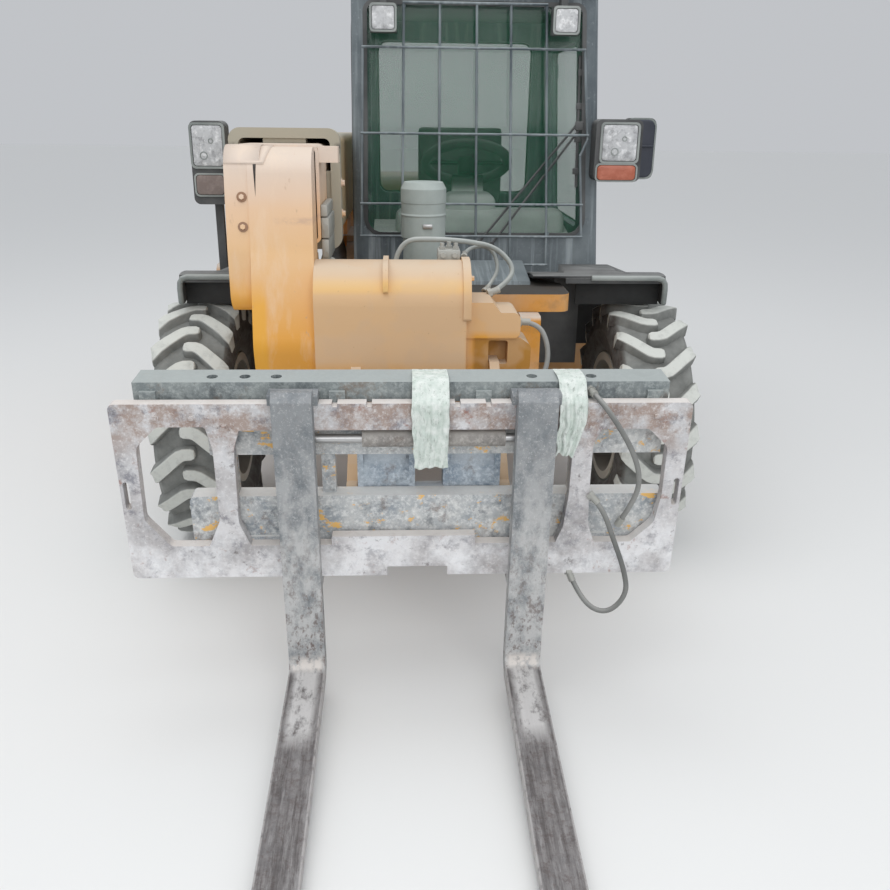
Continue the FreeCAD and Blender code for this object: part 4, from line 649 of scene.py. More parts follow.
def finished(name, shape, body, slot, smooth=40, matrix=None, material=None):
    """Turns a bmesh into a piece that rides on a body and has a slot's finish."""
    if matrix is not None:
        bmesh.ops.transform(shape, matrix=matrix, verts=shape.verts)
    bmesh.ops.recalc_face_normals(shape, faces=shape.faces)
    mesh = bpy.data.meshes.new(name)
    shape.to_mesh(mesh)
    shape.free()
    mesh.materials.append(material or FINISHES[slot])
    made = bpy.data.objects.new(name, mesh)
    bpy.context.collection.objects.link(made)
    if smooth:
        mesh.shade_smooth()
        mesh.set_sharp_from_angle(angle=math.radians(smooth))
    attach(made, body)
    return made


# Hoses

HOSES = (
    # node, body, diameter, length, far end, route from the exit
    ("boom_hose_long", "boom_inner", 0.016, 0.84, "object",
     ((-0.342, -0.680, 1.130), (-0.230, -0.690, 1.100), (-0.120, -0.690, 1.064), (-0.088, -0.690, 1.190),
      (0.020, -0.700, 1.194), (0.125, -0.690, 1.186), (0.222, -0.695, 1.168), (0.282, -0.735, 1.100),
      (0.222, -0.778, 1.048), (0.186, -0.785, 1.036))),
    ("boom_hose_loop", "boom_inner", 0.012, 0.33, "object",
     ((0.113, -0.7165, 1.1395), (0.122, -0.655, 1.160), (0.205, -0.650, 1.168), (0.232, -0.690, 1.100),
      (0.196, -0.725, 1.050), (0.178, -0.748, 1.035))),
    ("boom_hose_black", "boom_inner", 0.016, 0.38, "object",
     ((0.2765, -0.8515, 0.9602), (0.338, -0.862, 0.962), (0.372, -0.890, 0.895), (0.362, -0.925, 0.815),
      (0.305, -0.958, 0.758), (0.2125, -0.9675, 0.736))),
    ("hose_upper", "shift_carriage", 0.014, 0.46, "fitting",
     ((0.392, -1.4215, 0.913), (0.405, -1.480, 0.908), (0.452, -1.502, 0.848), (0.505, -1.497, 0.760),
      (0.530, -1.478, 0.680), (0.524, -1.450, 0.610), (0.505, -1.425, 0.552))),
    ("hose_lower", "shift_carriage", 0.014, 0.55, "object",
     ((0.406, -1.4405, 0.632), (0.440, -1.460, 0.600), (0.470, -1.482, 0.520), (0.505, -1.490, 0.430),
      (0.522, -1.486, 0.350), (0.470, -1.478, 0.283), (0.400, -1.462, 0.318), (0.3695, -1.4115, 0.390))))





def ferrule(shape, place, direction, radius):
    """The crimped end and hexagon of a hose, from the face that it goes into."""
    place, direction = Vector(place), Vector(direction).normalized()
    rod(shape, place, place + direction * radius * 1.6, radius * 1.9, 6)
    rod(shape, place + direction * radius * 1.5, place + direction * radius * 5.0, radius * 1.32, 20)
    for step in range(3):
        at = place + direction * radius * (2.2 + 0.9 * step)
        rod(shape, at, at + direction * radius * 0.35, radius * 1.45, 20)


def hoses():
    fittings = {"boom_inner": bmesh.new(), "shift_carriage": bmesh.new()}
    for name, body, diameter, length, far_end, route in HOSES:
        curve = bpy.data.curves.new(name + "_hose", "CURVE")
        curve.dimensions = "3D"
        curve.bevel_depth = diameter / 2
        curve.bevel_resolution = 5
        curve.use_fill_caps = True
        spline = curve.splines.new("NURBS")
        spline.points.add(len(route) - 1)
        for point, spot in zip(spline.points, route):
            point.co = (*spot, 1)
        spline.order_u = 3
        spline.use_endpoint_u = True
        spline.resolution_u = 12
        curve.materials.append(DUSTY_HOSE if name in ("boom_hose_long", "boom_hose_loop") else
                               FINISHES["hose_rubber"])
        hose = bpy.data.objects.new(name + "_hose", curve)
        bpy.context.collection.objects.link(hose)
        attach(hose, body)
        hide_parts(name)
        ends = [(route[0], Vector(route[1]) - Vector(route[0]))]
        if far_end == "object":
            ends.append((route[-1], Vector(route[-2]) - Vector(route[-1])))
        for spot, direction in ends:
            ferrule(fittings[body], spot, direction, diameter / 2)
    unions = {body: finished("ferrules_" + body, shape, body, "zinc_fitting", 30)
              for body, shape in fittings.items()}
    return unions


# Tyres

TYRE_R, TREAD_HALF = 0.450, 0.1375
WHEELS = (("front_left", 1, -0.265), ("front_right", -1, -0.265),
          ("rear_left", 1, 1.905), ("rear_right", -1, 1.905))
LUGS = 18
# stations along a lug: x, y round the tread, half width, top (x, r) and root (x, r) in mm
LUG = (
    (-25, 52, 9, (-25, 443), (-27, 405)), (-21, 52, 18, (-21, 447.5), (-23, 405)),
    (-10, 52, 23, (-10, 449), (-11, 405)), (14, 51, 23.5, (14, 449.5), (14, 405)),
    (30, 45, 24, (30, 449), (30, 405)), (46, 33, 24, (46, 448.5), (46, 405)),
    (78, 5, 24.5, (78, 446.5), (78, 404)), (108, -21, 25.5, (108, 443), (104, 400)),
    (128, -38, 26.5, (126, 437), (114, 392)), (135, -46, 27, (134, 426), (116, 380)),
    (137, -50, 27, (137, 404), (120, 364)), (135, -52, 24, (136, 376), (124, 352)))


def lug_rows(way, flip):
    """Points of one lug at the top of a wheel, as rows across it, with how worn each point is."""
    rows = []
    for index, (x, y, half, top, root) in enumerate(LUG):
        before = LUG[max(index - 1, 0)]
        after = LUG[min(index + 1, len(LUG) - 1)]
        along = Vector((after[0] - before[0], after[1] - before[1]))
        across = Vector((-along.y, along.x)).normalized()
        if index > 8:
            across = Vector((0.25, 1)).normalized()
        row = []
        for share, inset, level in ((-1.0, -6, 0.0), (-1.0, 0, 0.86), (-1.0, 5, 1.0), (1.0, 5, 1.0),
                                    (1.0, 0, 0.86), (1.0, -6, 0.0)):
            reach = share * max(half - inset, 2)
            spot_x = root[0] + (top[0] - root[0]) * level + across.x * reach
            radius = root[1] + (top[1] - root[1]) * level
            spot_x = min(spot_x, 137.2)
            row.append((way * spot_x, flip * (y + across.y * reach), radius, level))
        rows.append(row)
    return rows


def tyre_shape(centre, flip):
    shape = bmesh.new()
    worn = shape.verts.layers.float.new("worn")
    carcass = [(-104, 235.4), (-104, 257), (-110, 262), (-118, 272), (-127, 300), (-133, 330), (-136, 338),
               (-136, 343), (-134, 348), (-133, 372), (-127, 396), (-112, 411), (-60, 415), (0, 416),
               (60, 415), (112, 411), (127, 396), (133, 372), (134, 348), (136, 343), (136, 338), (133, 330),
               (127, 300), (118, 272), (110, 262), (104, 257), (104, 235.4)]
    ring(shape, [(x / 1000, r / 1000) for x, r in carcass], centre, "X", 96)
    for way, lead in ((1, 0.25), (-1, 0.75)):
        rows = lug_rows(way, flip)
        for index in range(LUGS):
            turn = 2 * math.pi * (index + lead) / LUGS
            made = []
            for row in rows:
                line = []
                for x, y, radius, level in row:
                    angle = turn - y / 432
                    spot = Vector((x / 1000, -radius / 1000 * math.sin(angle), radius / 1000 * math.cos(angle)))
                    vert = shape.verts.new(Vector(centre) + spot)
                    vert[worn] = level
                    line.append(vert)
                made.append(line)
            for here, after in zip(made, made[1:]):
                for one in range(5):
                    shape.faces.new((here[one], here[one + 1], after[one + 1], after[one]))
                shape.faces.new((here[5], here[0], after[0], after[5]))
            shape.faces.new(list(reversed(made[0])))
            shape.faces.new(made[-1])
    return shape


def wheels():
    for name, side, axle_y in WHEELS:
        centre = (side * 0.822, axle_y, 0.450)
        tyre = finished("tread_" + name, tyre_shape(centre, 1 if side < 0 else -1), "wheel_" + name,
                        "tyre_rubber", 35)
        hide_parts("tyre_" + name)
        nuts = bmesh.new()
        face = side * (0.822 + 0.066)
        for index in range(8):
            angle = 2 * math.pi * (index + 0.5) / 8
            spot = (face, axle_y + 0.106 * math.sin(angle), 0.450 + 0.106 * math.cos(angle))
            bolt(nuts, spot, (side, 0, 0), 0.0135, 0.020)
            rod(nuts, Vector(spot) + Vector((side * 0.018, 0, 0)), Vector(spot) + Vector((side * 0.030, 0, 0)),
                0.008, 12)
        finished("wheel_nuts_" + name, nuts, "wheel_" + name, "rim_paint", 30)
        valve = bmesh.new()
        spot = Vector((side * (0.822 + 0.046), axle_y + 0.19, 0.450))
        rod(valve, spot, spot + Vector((side * 0.034, 0, 0)), 0.005, 12)
        rod(valve, spot + Vector((side * 0.030, 0, 0)), spot + Vector((side * 0.042, 0, 0)), 0.007, 12)
        finished("valve_" + name, valve, "wheel_" + name, "hose_rubber", 30)


# Cloth wraps

def wrap(name, x0, x1, hem, seed, tail, drift):
    """A crumpled cloth over the top beam and the front bar, as one thick folded strip."""
    profile = [(-1.304, 0.905), (-1.302, 0.925), (-1.302, 0.945), (-1.306, 0.9485), (-1.330, 0.950), (-1.360, 0.951),
               (-1.385, 0.950), (-1.3985, 0.947), (-1.405, 0.937), (-1.420, 0.918), (-1.4375, 0.909)]
    steps = 38
    for step in range(1, steps + 1):
        profile.append((-1.4410, 0.906 - (0.906 - hem) * step / steps))
    across = 34
    shape = bmesh.new()
    verts = []
    for level, (y, z) in enumerate(profile):
        before, after = profile[max(level - 1, 0)], profile[min(level + 1, len(profile) - 1)]
        along = Vector((0, after[0] - before[0], after[1] - before[1])).normalized()
        out = Vector((0, -along.z, along.y)) * -1
        if out.y > 0 and level > 2 or out.z < -0.2:
            out = -out
        if level <= 2:
            out = Vector((0, 1, 0))
        down = level / (len(profile) - 1)
        narrow = 1.0 - tail * max(0.0, down - 0.40) ** 1.4
        slide = drift * max(0.0, down - 0.30) ** 1.5
        row = []
        for step in range(across + 1):
            share = step / across
            wave = noise.noise(Vector((down * 5.0, seed, share * 0.6))) * 0.007 * (1 - 0.4 * share)
            x = (x0 + x1) / 2 + slide + wave + (share - 0.5) * (x1 - x0) * narrow
            bend = 0.22 * math.sin(down * 4.0 + seed) + 0.10 * noise.noise(Vector((down * 9, seed + 4, 0)))
            pleat = math.sin(2 * math.pi * (share * 3.3 + bend) + seed)
            pleat = 0.5 + 0.5 * math.tanh(2.2 * pleat)
            crease = noise.noise(Vector((x * 46, z * 17, seed + 9)))
            crumple = noise.noise(Vector((x * 120, z * 70, seed + 2)))
            free = min(1.0, max(0.15, (level - 4) / 10))
            lift = 0.0022 + free * (0.0068 * pleat + 0.0050 * max(crease, -0.4) + 0.0026 * crumple)
            tip = (down ** 6) * 0.014 * noise.noise(Vector((share * 2.5, seed, 7)))
            row.append(shape.verts.new(leaned((x, y, z + tip)) + out * max(lift, 0.0014)))
        verts.append(row)
    for here, after in zip(verts, verts[1:]):
        for step in range(across):
            shape.faces.new((here[step], here[step + 1], after[step + 1], after[step]))
    made = finished(name, shape, "shift_carriage", "wrap_cloth", 75)
    thick = made.modifiers.new("thick", "SOLIDIFY")
    thick.thickness = 0.0020
    thick.offset = 0
    smooth = made.modifiers.new("smooth", "SUBSURF")
    smooth.levels = smooth.render_levels = 1
    return made


def wraps():
    left = wrap("wrap_left", -0.062, 0.030, 0.728, 3, 0.10, 0.004)
    right = wrap("wrap_right", 0.310, 0.380, 0.760, 8, 0.75, -0.030)
    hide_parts("wraps")


# Lamps, mirrors and wipers

def lens(shape, x0, x1, z0, z1, y, bulge, radius):
    """A lens that bulges towards the forks from a flat back."""
    rims = ((1.0, 0.0), (0.985, 0.5), (0.95, 0.8), (0.75, 0.96), (0.4, 1.0))
    middle = ((x0 + x1) / 2, (z0 + z1) / 2)
    loop = rounded(x0, x1, z0, z1, radius)
    rows = [[shape.verts.new((middle[0] + (a - middle[0]) * size, y - bulge * rise, middle[1] + (b - middle[1]) * size))
             for a, b in loop] for size, rise in rims]
    for here, after in zip(rows, rows[1:]):
        for index in range(len(loop)):
            follow = (index + 1) % len(loop)
            shape.faces.new((here[index], here[follow], after[follow], after[index]))
    shape.faces.new(rows[-1])
    shape.faces.new(list(reversed(rows[0])))


def frame_ring(shape, outer, inner, y, depth, bevel=0.0):
    """A flat ring that faces the forks, between two loops of as many corners."""
    loops = []
    for corners, back in ((outer, y), (outer, y - depth), (inner, y - depth), (inner, y)):
        loops.append([shape.verts.new((a, back, b)) for a, b in corners])
    count = len(outer)
    for here, after in zip(loops, loops[1:] + loops[:1]):
        for index in range(count):
            follow = (index + 1) % count
            shape.faces.new((here[index], here[follow], after[follow], after[index]))


LAMPS = (
    # lens and indicator, as x, x, z, z
    ((0.682, 0.816, 1.404, 1.536), (0.668, 0.818, 1.334, 1.389)),
    ((-0.866, -0.753, 1.372, 1.518), (-0.862, -0.757, 1.268, 1.340)))


def lamps():
    glass, orange, dull, rims = bmesh.new(), bmesh.new(), bmesh.new(), bmesh.new()
    reflector = bmesh.new()
    for (a0, a1, b0, b1), (c0, c1, d0, d1) in LAMPS:
        lens(glass, a0, a1, b0, b1, -0.0365, 0.0080, 0.012)
        lens(orange if c0 > 0 else dull, c0, c1, d0, d1, -0.0365, 0.0090, 0.014)
        frame_ring(rims, rounded(a0 - 0.009, a1 + 0.009, b0 - 0.009, b1 + 0.009, 0.018),
                   rounded(a0 - 0.001, a1 + 0.001, b0 - 0.001, b1 + 0.001, 0.012), -0.0362, 0.0065)
        frame_ring(rims, rounded(c0 - 0.007, c1 + 0.007, d0 - 0.007, d1 + 0.007, 0.018),
                   rounded(c0 - 0.001, c1 + 0.001, d0 - 0.001, d1 + 0.001, 0.014), -0.0362, 0.0055)
        for across, up, radius in ((0.36, 0.26, 0.015), (0.62, 0.62, 0.010)):
            ring(reflector, [(-0.0452, radius), (-0.0462, radius - 0.002), (-0.0452, radius - 0.004),
                             (-0.0442, radius - 0.002)], (a0 + (a1 - a0) * across, 0, b0 + (b1 - b0) * up), "Y", 24)
    for x in (-0.148, 0.518):
        lens(glass, x - 0.041, x + 0.041, 1.850, 1.928, -0.0445, 0.006, 0.010)
        frame_ring(rims, rounded(x - 0.049, x + 0.049, 1.842, 1.937, 0.014),
                   rounded(x - 0.042, x + 0.042, 1.849, 1.929, 0.010), -0.0442, 0.006)
    finished("lamp_lenses", glass, "chassis", "window_glass", 40, material=LAMP_LENS)
    finished("indicator_left", orange, "chassis", "lamp_red", 40, material=LAMP_ORANGE)
    finished("indicator_right", dull, "chassis", "lamp_red", 40, material=LAMP_DULL)
    finished("lamp_rims", rims, "chassis", "black_plastic", 30, material=LAMP_EDGE)
    finished("lamp_reflectors", reflector, "chassis", "chrome_rod", 40, material=LAMP_EDGE)
    tail = bmesh.new()
    for side in (1, -1):
        for index, z in enumerate((0.868, 0.890, 0.912)):
            block(tail, sorted((side * 0.404, side * 0.472)), (2.5118, 2.5148), (z - 0.009, z + 0.009), 0.0012)
    finished("tail_lens_ribs", tail, "chassis", "lamp_red", 30)
    mirror = bmesh.new()
    panel(mirror, rounded(0.806, 0.919, 1.336, 1.554, 0.030), 0.012, in_front(0.111))
    block(mirror, (0.842, 0.915), (0.090, 0.101), (1.452, 1.460), 0.003)
    bmesh.ops.bevel(mirror, geom=[e for e in mirror.edges if abs(e.verts[0].co.y - 0.099) < 1e-4
                                  and abs(e.verts[1].co.y - 0.099) < 1e-4], offset=0.006, offset_type="OFFSET",
                    affect="EDGES", segments=3, profile=0.5, material=-1)
    finished("mirror_shell", mirror, "chassis", "black_plastic", 40, material=MIRROR_NAVY)
    edge = bmesh.new()
    frame_ring(edge, rounded(0.799, 0.926, 1.329, 1.561, 0.034), rounded(0.8055, 0.9195, 1.3355, 1.5545, 0.030),
               0.1095, 0.006)
    finished("mirror_rim", edge, "chassis", "black_plastic", 30, material=LAMP_EDGE)
    face = bmesh.new()
    panel(face, rounded(0.808, 0.917, 1.338, 1.552, 0.024), 0.0015, at_back(0.1502))
    finished("mirror_face", face, "chassis", "chrome_rod", 30, material=MIRROR_GLASS)


def cab_front(z):
    return 0.045 + 0.025 * (z - 0.930) / 1.055


def wipers():
    arms, blade = bmesh.new(), bmesh.new()
    for (x0, z0), (x1, z1) in (((0.223, 1.081), (0.600, 1.537)), ((0.275, 1.073), (0.612, 1.520))):
        start, end = (x0, cab_front(z0) - 0.006, z0), (x1, cab_front(z1) + 0.001, z1)
        rod(arms, start, end, 0.0048, 10)
        rod(arms, (x0, cab_front(z0) + 0.003, z0), (x0, cab_front(z0) - 0.014, z0), 0.013, 16)
    block(arms, (0.590, 0.622), (0.050, 0.058), (1.512, 1.545), 0.003)
    for z0, z1, lean in ((1.300, 1.780, 0.0),):
        rod(blade, (0.598 + 0.012, cab_front(z0) + 0.010, z0), (0.598, cab_front(z1) + 0.010, z1), 0.006, 8)
        for z in (1.36, 1.48, 1.60, 1.72):
            block(blade, (0.592, 0.616), (cab_front(z) + 0.001, cab_front(z) + 0.010), (z - 0.012, z + 0.012), 0.002)
    finished("wiper_arms", arms, "chassis", "black_plastic", 40)
    finished("wiper_blade", blade, "chassis", "black_plastic", 40)


def seal(shape, corners, place, width=0.016, depth=0.005):
    """A rubber strip round a window, from its corners once round."""
    loop = [Vector(corner) for corner in corners]
    middle = sum(loop, Vector((0, 0))) / len(loop)
    outside, inside = [], []
    count = len(loop)
    for index in range(count):
        before, after = loop[index - 1], loop[(index + 1) % count]
        along = (after - before).normalized()
        normal = Vector((along.y, -along.x))
        if normal.dot(loop[index] - middle) < 0:
            normal = -normal
        outside.append(loop[index] + normal * width * 0.6)
        inside.append(loop[index] - normal * width * 0.4)
    loops = [[shape.verts.new(place(p.x, p.y, d)) for p in line]
             for line, d in ((outside, 0.0), (outside, depth), (inside, depth), (inside, 0.0))]
    for here, after in zip(loops, loops[1:] + loops[:1]):
        for index in range(count):
            follow = (index + 1) % count
            shape.faces.new((here[index], here[follow], after[follow], after[index]))


def round_corners(corners, steps=5):
    """Corners of (a, b, radius) with each rounded off."""
    line = []
    count = len(corners)
    for index, (a, b, radius) in enumerate(corners):
        here = Vector((a, b))
        back = (Vector(corners[index - 1][:2]) - here).normalized()
        ahead = (Vector(corners[(index + 1) % count][:2]) - here).normalized()
        half = back.angle(ahead) / 2
        reach = radius / math.tan(half)
        centre = here + (back + ahead).normalized() * (radius / math.sin(half))
        start, end = here + back * reach - centre, here + ahead * reach - centre
        for step in range(steps + 1):
            share = step / steps
            spot = (start * (1 - share) + end * share).normalized() * radius
            line.append(centre + spot)
    return line


def seals():
    rubber = bmesh.new()
    front = round_corners([(-0.225, 1.115, 0.060), (0.645, 1.115, 0.060), (0.600, 1.950, 0.030), (-0.215, 1.950, 0.030)])
    seal(rubber, front, lambda a, b, d: Vector((a, cab_front(b) + 0.0005 - d, b)))
    lean = 0.060 / 1.365
    rear = round_corners([(-0.200, 1.180, 0.05), (0.570, 1.180, 0.05), (0.570, 1.900, 0.05), (-0.200, 1.900, 0.05)])
    seal(rubber, rear, lambda a, b, d: Vector((a, 1.280 - lean * (b - 0.620) - 0.0005 + d, b)))
    left = round_corners([(0.160, 1.150, 0.06), (1.120, 1.150, 0.06), (1.090, 1.900, 0.06), (0.180, 1.900, 0.06)])
    seal(rubber, left, lambda a, b, d: Vector((-0.285 + 0.015 * (b - 0.620) / 1.365 + 0.0005 - d, a, b)))
    finished("window_seals", rubber, "chassis", "black_plastic", 30)
    door = bmesh.new()
    window = round_corners([(0.330, 1.110, 0.05), (1.090, 1.110, 0.05), (1.070, 1.850, 0.05), (0.320, 1.850, 0.05)])
    seal(door, window, lambda a, b, d: Vector((0.740 - 0.080 * (b - 0.620) / 1.365 - 0.0005 + d, a, b)))
    finished("door_seal", door, "cab_door", "black_plastic", 30)
    handle = bmesh.new()
    side = 0.740 - 0.080 * (1.040 - 0.620) / 1.365
    block(handle, (side - 0.004, side + 0.006), (0.300, 0.420), (1.010, 1.070), 0.004)
    block(handle, (side + 0.010, side + 0.022), (0.315, 0.405), (1.030, 1.048), 0.005)
    for y in (0.322, 0.398):
        block(handle, (side + 0.004, side + 0.014), (y - 0.006, y + 0.006), (1.032, 1.046), 0.002)
    finished("door_handle", handle, "cab_door", "black_plastic", 40)


# Seat

def cushion(shape, x, y, z, crown, seams, tilt=0.0):
    """A crowned closed pad with sewn channels across it."""
    steps = (16, 14, 5)
    spots = {}

    def point(i, j, k):
        u, v, w = (2 * i / steps[0] - 1, 2 * j / steps[1] - 1, 2 * k / steps[2] - 1)
        pull = 1 - 0.05 * (1 - abs(w)) * 0 - 0.06 * abs(w) ** 3 * 0.5
        squeeze = 1 - 0.10 * max(abs(u), abs(v)) ** 6 * abs(w) ** 2
        a = (x[0] + x[1]) / 2 + u * (x[1] - x[0]) / 2 * pull * (1 - 0.03 * abs(w) ** 4)
        b = (y[0] + y[1]) / 2 + v * (y[1] - y[0]) / 2 * pull * (1 - 0.03 * abs(w) ** 4)
        bulge = crown * (1 - u ** 4) * (1 - v ** 4)
        channel = sum(math.exp(-((v - seam) / 0.05) ** 2) for seam in seams) * 0.010
        height = (z[1] - z[0]) / 2
        c = (z[0] + z[1]) / 2 + w * height * squeeze + (bulge - channel - crown if w > 0 else 0) * max(w, 0)
        return Vector((a, b, c))

    def vert(i, j, k):
        if (i, j, k) not in spots:
            spots[(i, j, k)] = shape.verts.new(point(i, j, k))
        return spots[(i, j, k)]

    for axis in range(3):
        first, second = [a for a in range(3) if a != axis]
        for level in (0, steps[axis]):
            for i in range(steps[first]):
                for j in range(steps[second]):
                    corners = []
                    for di, dj in ((0, 0), (1, 0), (1, 1), (0, 1)):
                        index = [0, 0, 0]
                        index[axis], index[first], index[second] = level, i + di, j + dj
                        corners.append(vert(*index))
                    shape.faces.new(corners)
    return list(spots.values())


def seat():
    pad = bmesh.new()
    cushion(pad, (-0.006, 0.426), (0.705, 1.075), (0.905, 1.005), 0.016, (-0.4, 0.1, 0.55))
    lower = finished("seat_cushion", pad, "chassis", "seat_fabric", 60)
    back = bmesh.new()
    cushion(back, (0.0, 0.420), (-0.255, 0.255), (0.0, 0.085), 0.014, (-0.5, -0.1, 0.3, 0.7))
    matrix = (Matrix.Translation((0, 1.150, 1.245)) @ Matrix.Rotation(math.radians(86), 4, "X"))
    upper = finished("seat_back", back, "chassis", "seat_fabric", 60, matrix=matrix)
    base = bmesh.new()
    block(base, (0.062, 0.358), (0.765, 1.015), (0.6605, 0.700), 0.008)
    for index in range(6):
        z = 0.705 + index * 0.030
        block(base, (0.085, 0.335), (0.785, 0.995), (z, z + 0.026), 0.010)
    block(base, (0.02, 0.40), (0.74, 1.04), (0.885, 0.906), 0.006)
    block(base, (0.04, 0.38), (1.100, 1.150), (0.900, 1.020), 0.008)
    foot = finished("seat_base", base, "chassis", "black_plastic", 40)
    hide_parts("seat")
    for piece in (lower, upper):
        smooth = piece.modifiers.new("smooth", "SUBSURF")
        smooth.levels = smooth.render_levels = 1


# Plates and lips

HEAD_BOLTS = ((-0.5545, -0.853, 1.332), (-0.5545, -0.863, 1.247))
GUARD_FOLD, GUARD_EDGE, GUARD_RISE = 0.745, 0.878, 0.028


def skin_of(node, *cuts):
    """Part of a node's skin, kept on the near side of planes given as a place and a way out."""
    shape = bmesh.new()
    shape.from_mesh(frame["nodes"][node].data)
    bmesh.ops.remove_doubles(shape, verts=shape.verts, dist=1e-5)
    for place, away in cuts:
        everything = shape.verts[:] + shape.edges[:] + shape.faces[:]
        bmesh.ops.bisect_plane(shape, geom=everything, plane_co=place, plane_no=away, clear_outer=True)
    sides = [face for face in shape.faces if abs(face.normal.x) > 0.5 or face.normal.y > 0.4]
    bmesh.ops.delete(shape, geom=sides, context="FACES")
    return shape


def plated(made, thickness):
    """Gives a skin its wall, half of it inside what it lies on."""
    wall = made.modifiers.new("wall", "SOLIDIFY")
    wall.thickness = thickness
    wall.offset = 0
    return made


def head_trim():
    cap = skin_of("boom_head", ((-0.468, 0, 1.473), (1, 0, -0.4)), ((-0.5, 0, 1.424), (0, 0, -1)),
                  ((-0.6035, 0, 1.4), (-1, 0, 0)))
    plated(finished("head_cap", cap, "boom_inner", "boom_paint", 40), 0.0056)
    # a thin near-black strip on the head's front face below the cap: painted shade of a gap
    gap = skin_of("boom_head", ((-0.5095, 0, 1.420), (1, 0, -0.05)), ((-0.5180, 0, 1.420), (-1, 0, -0.05)),
                  ((0, 0, 1.335), (0, 0, -1)), ((0, 0, 1.424), (0, 0, 1)))
    plated(finished("head_gap", gap, "boom_inner", "boom_paint", 40, material=GAP_SHADE), 0.0012)
    washers = bmesh.new()
    for place in HEAD_BOLTS:
        spot, away = Vector(place), Vector((0, -1, 0.12)).normalized()
        rod(washers, spot + away * -0.003, spot + away * 0.0025, 0.0150, 24)
    finished("head_washers", washers, "boom_inner", "boom_paint", 30, material=WASHER_BROWN)
    stack = bmesh.new()
    for z0, z1, x1 in ((1.128, 1.196, -0.312), (1.199, 1.262, -0.310), (1.265, 1.300, -0.314)):
        block(stack, (-0.335, x1), (-0.742, -0.510), (z0, z1), 0.004)
    for z in (1.150, 1.232):
        rod(stack, (-0.322, -0.748, z), (-0.322, -0.505, z + 0.018), 0.009, 14)
    finished("hose_guide", stack, "boom_inner", "zinc_fitting", 30)


def deck_trim():
    """The cab's apron over the deck, with its folded lip."""
    apron = bmesh.new()
    panel(apron, [(-0.070, 0.9815), (-0.070, 1.030), (-0.100, 1.030), (-0.332, 0.994), (-0.336, 0.9815)], 0.284,
          lambda a, b, d: Vector((0.102 + d, a, b)))
    finished("cab_apron", apron, "chassis", "cab_paint", 30, material=APRON_PAINT)
    manifold = bmesh.new()
    block(manifold, (0.026, 0.096), (-0.806, -0.748), (1.128, 1.174), 0.004)
    for x, y in ((0.040, -0.790), (0.062, -0.762), (0.082, -0.790)):
        rod(manifold, (x, y, 1.172), (x, y, 1.183), 0.011, 6)
        rod(manifold, (x, y, 1.181), (x, y, 1.194), 0.007, 14)
    for x in (0.042, 0.078):
        rod(manifold, (x, -0.800, 1.160), (x, -0.818, 1.160), 0.009, 6)
    finished("hose_manifold", manifold, "boom_inner", "zinc_fitting", 30)


def cab_inside():
    """The dash's rounded hood, and the grip of the steering wheel."""
    hood = bmesh.new()
    block(hood, (-0.110, 0.585), (0.118, 0.250), (1.050, 1.205), 0.040, 5)
    block(hood, (0.090, 0.300), (0.140, 0.330), (1.120, 1.262), 0.035, 5)
    # the hood takes the dash's finish, whose pale colour is partly painted light
    finished("dash_hood", hood, "chassis", "black_plastic", 50, material=NODE_FINISHES["dash"])
    grip = bmesh.new()
    ring(grip, [(0.021 * math.cos(t * math.pi / 6), 0.175 + 0.021 * math.sin(t * math.pi / 6)) for t in range(12)],
         (0, 0, 0), "Z", 64)
    turn = Vector((0, 0.55, 1)).to_track_quat("Z", "Y").to_matrix().to_4x4()
    finished("wheel_grip", grip, "chassis", "black_plastic", 60,
             matrix=Matrix.Translation((0.195, 0.420, 1.370)) @ turn)


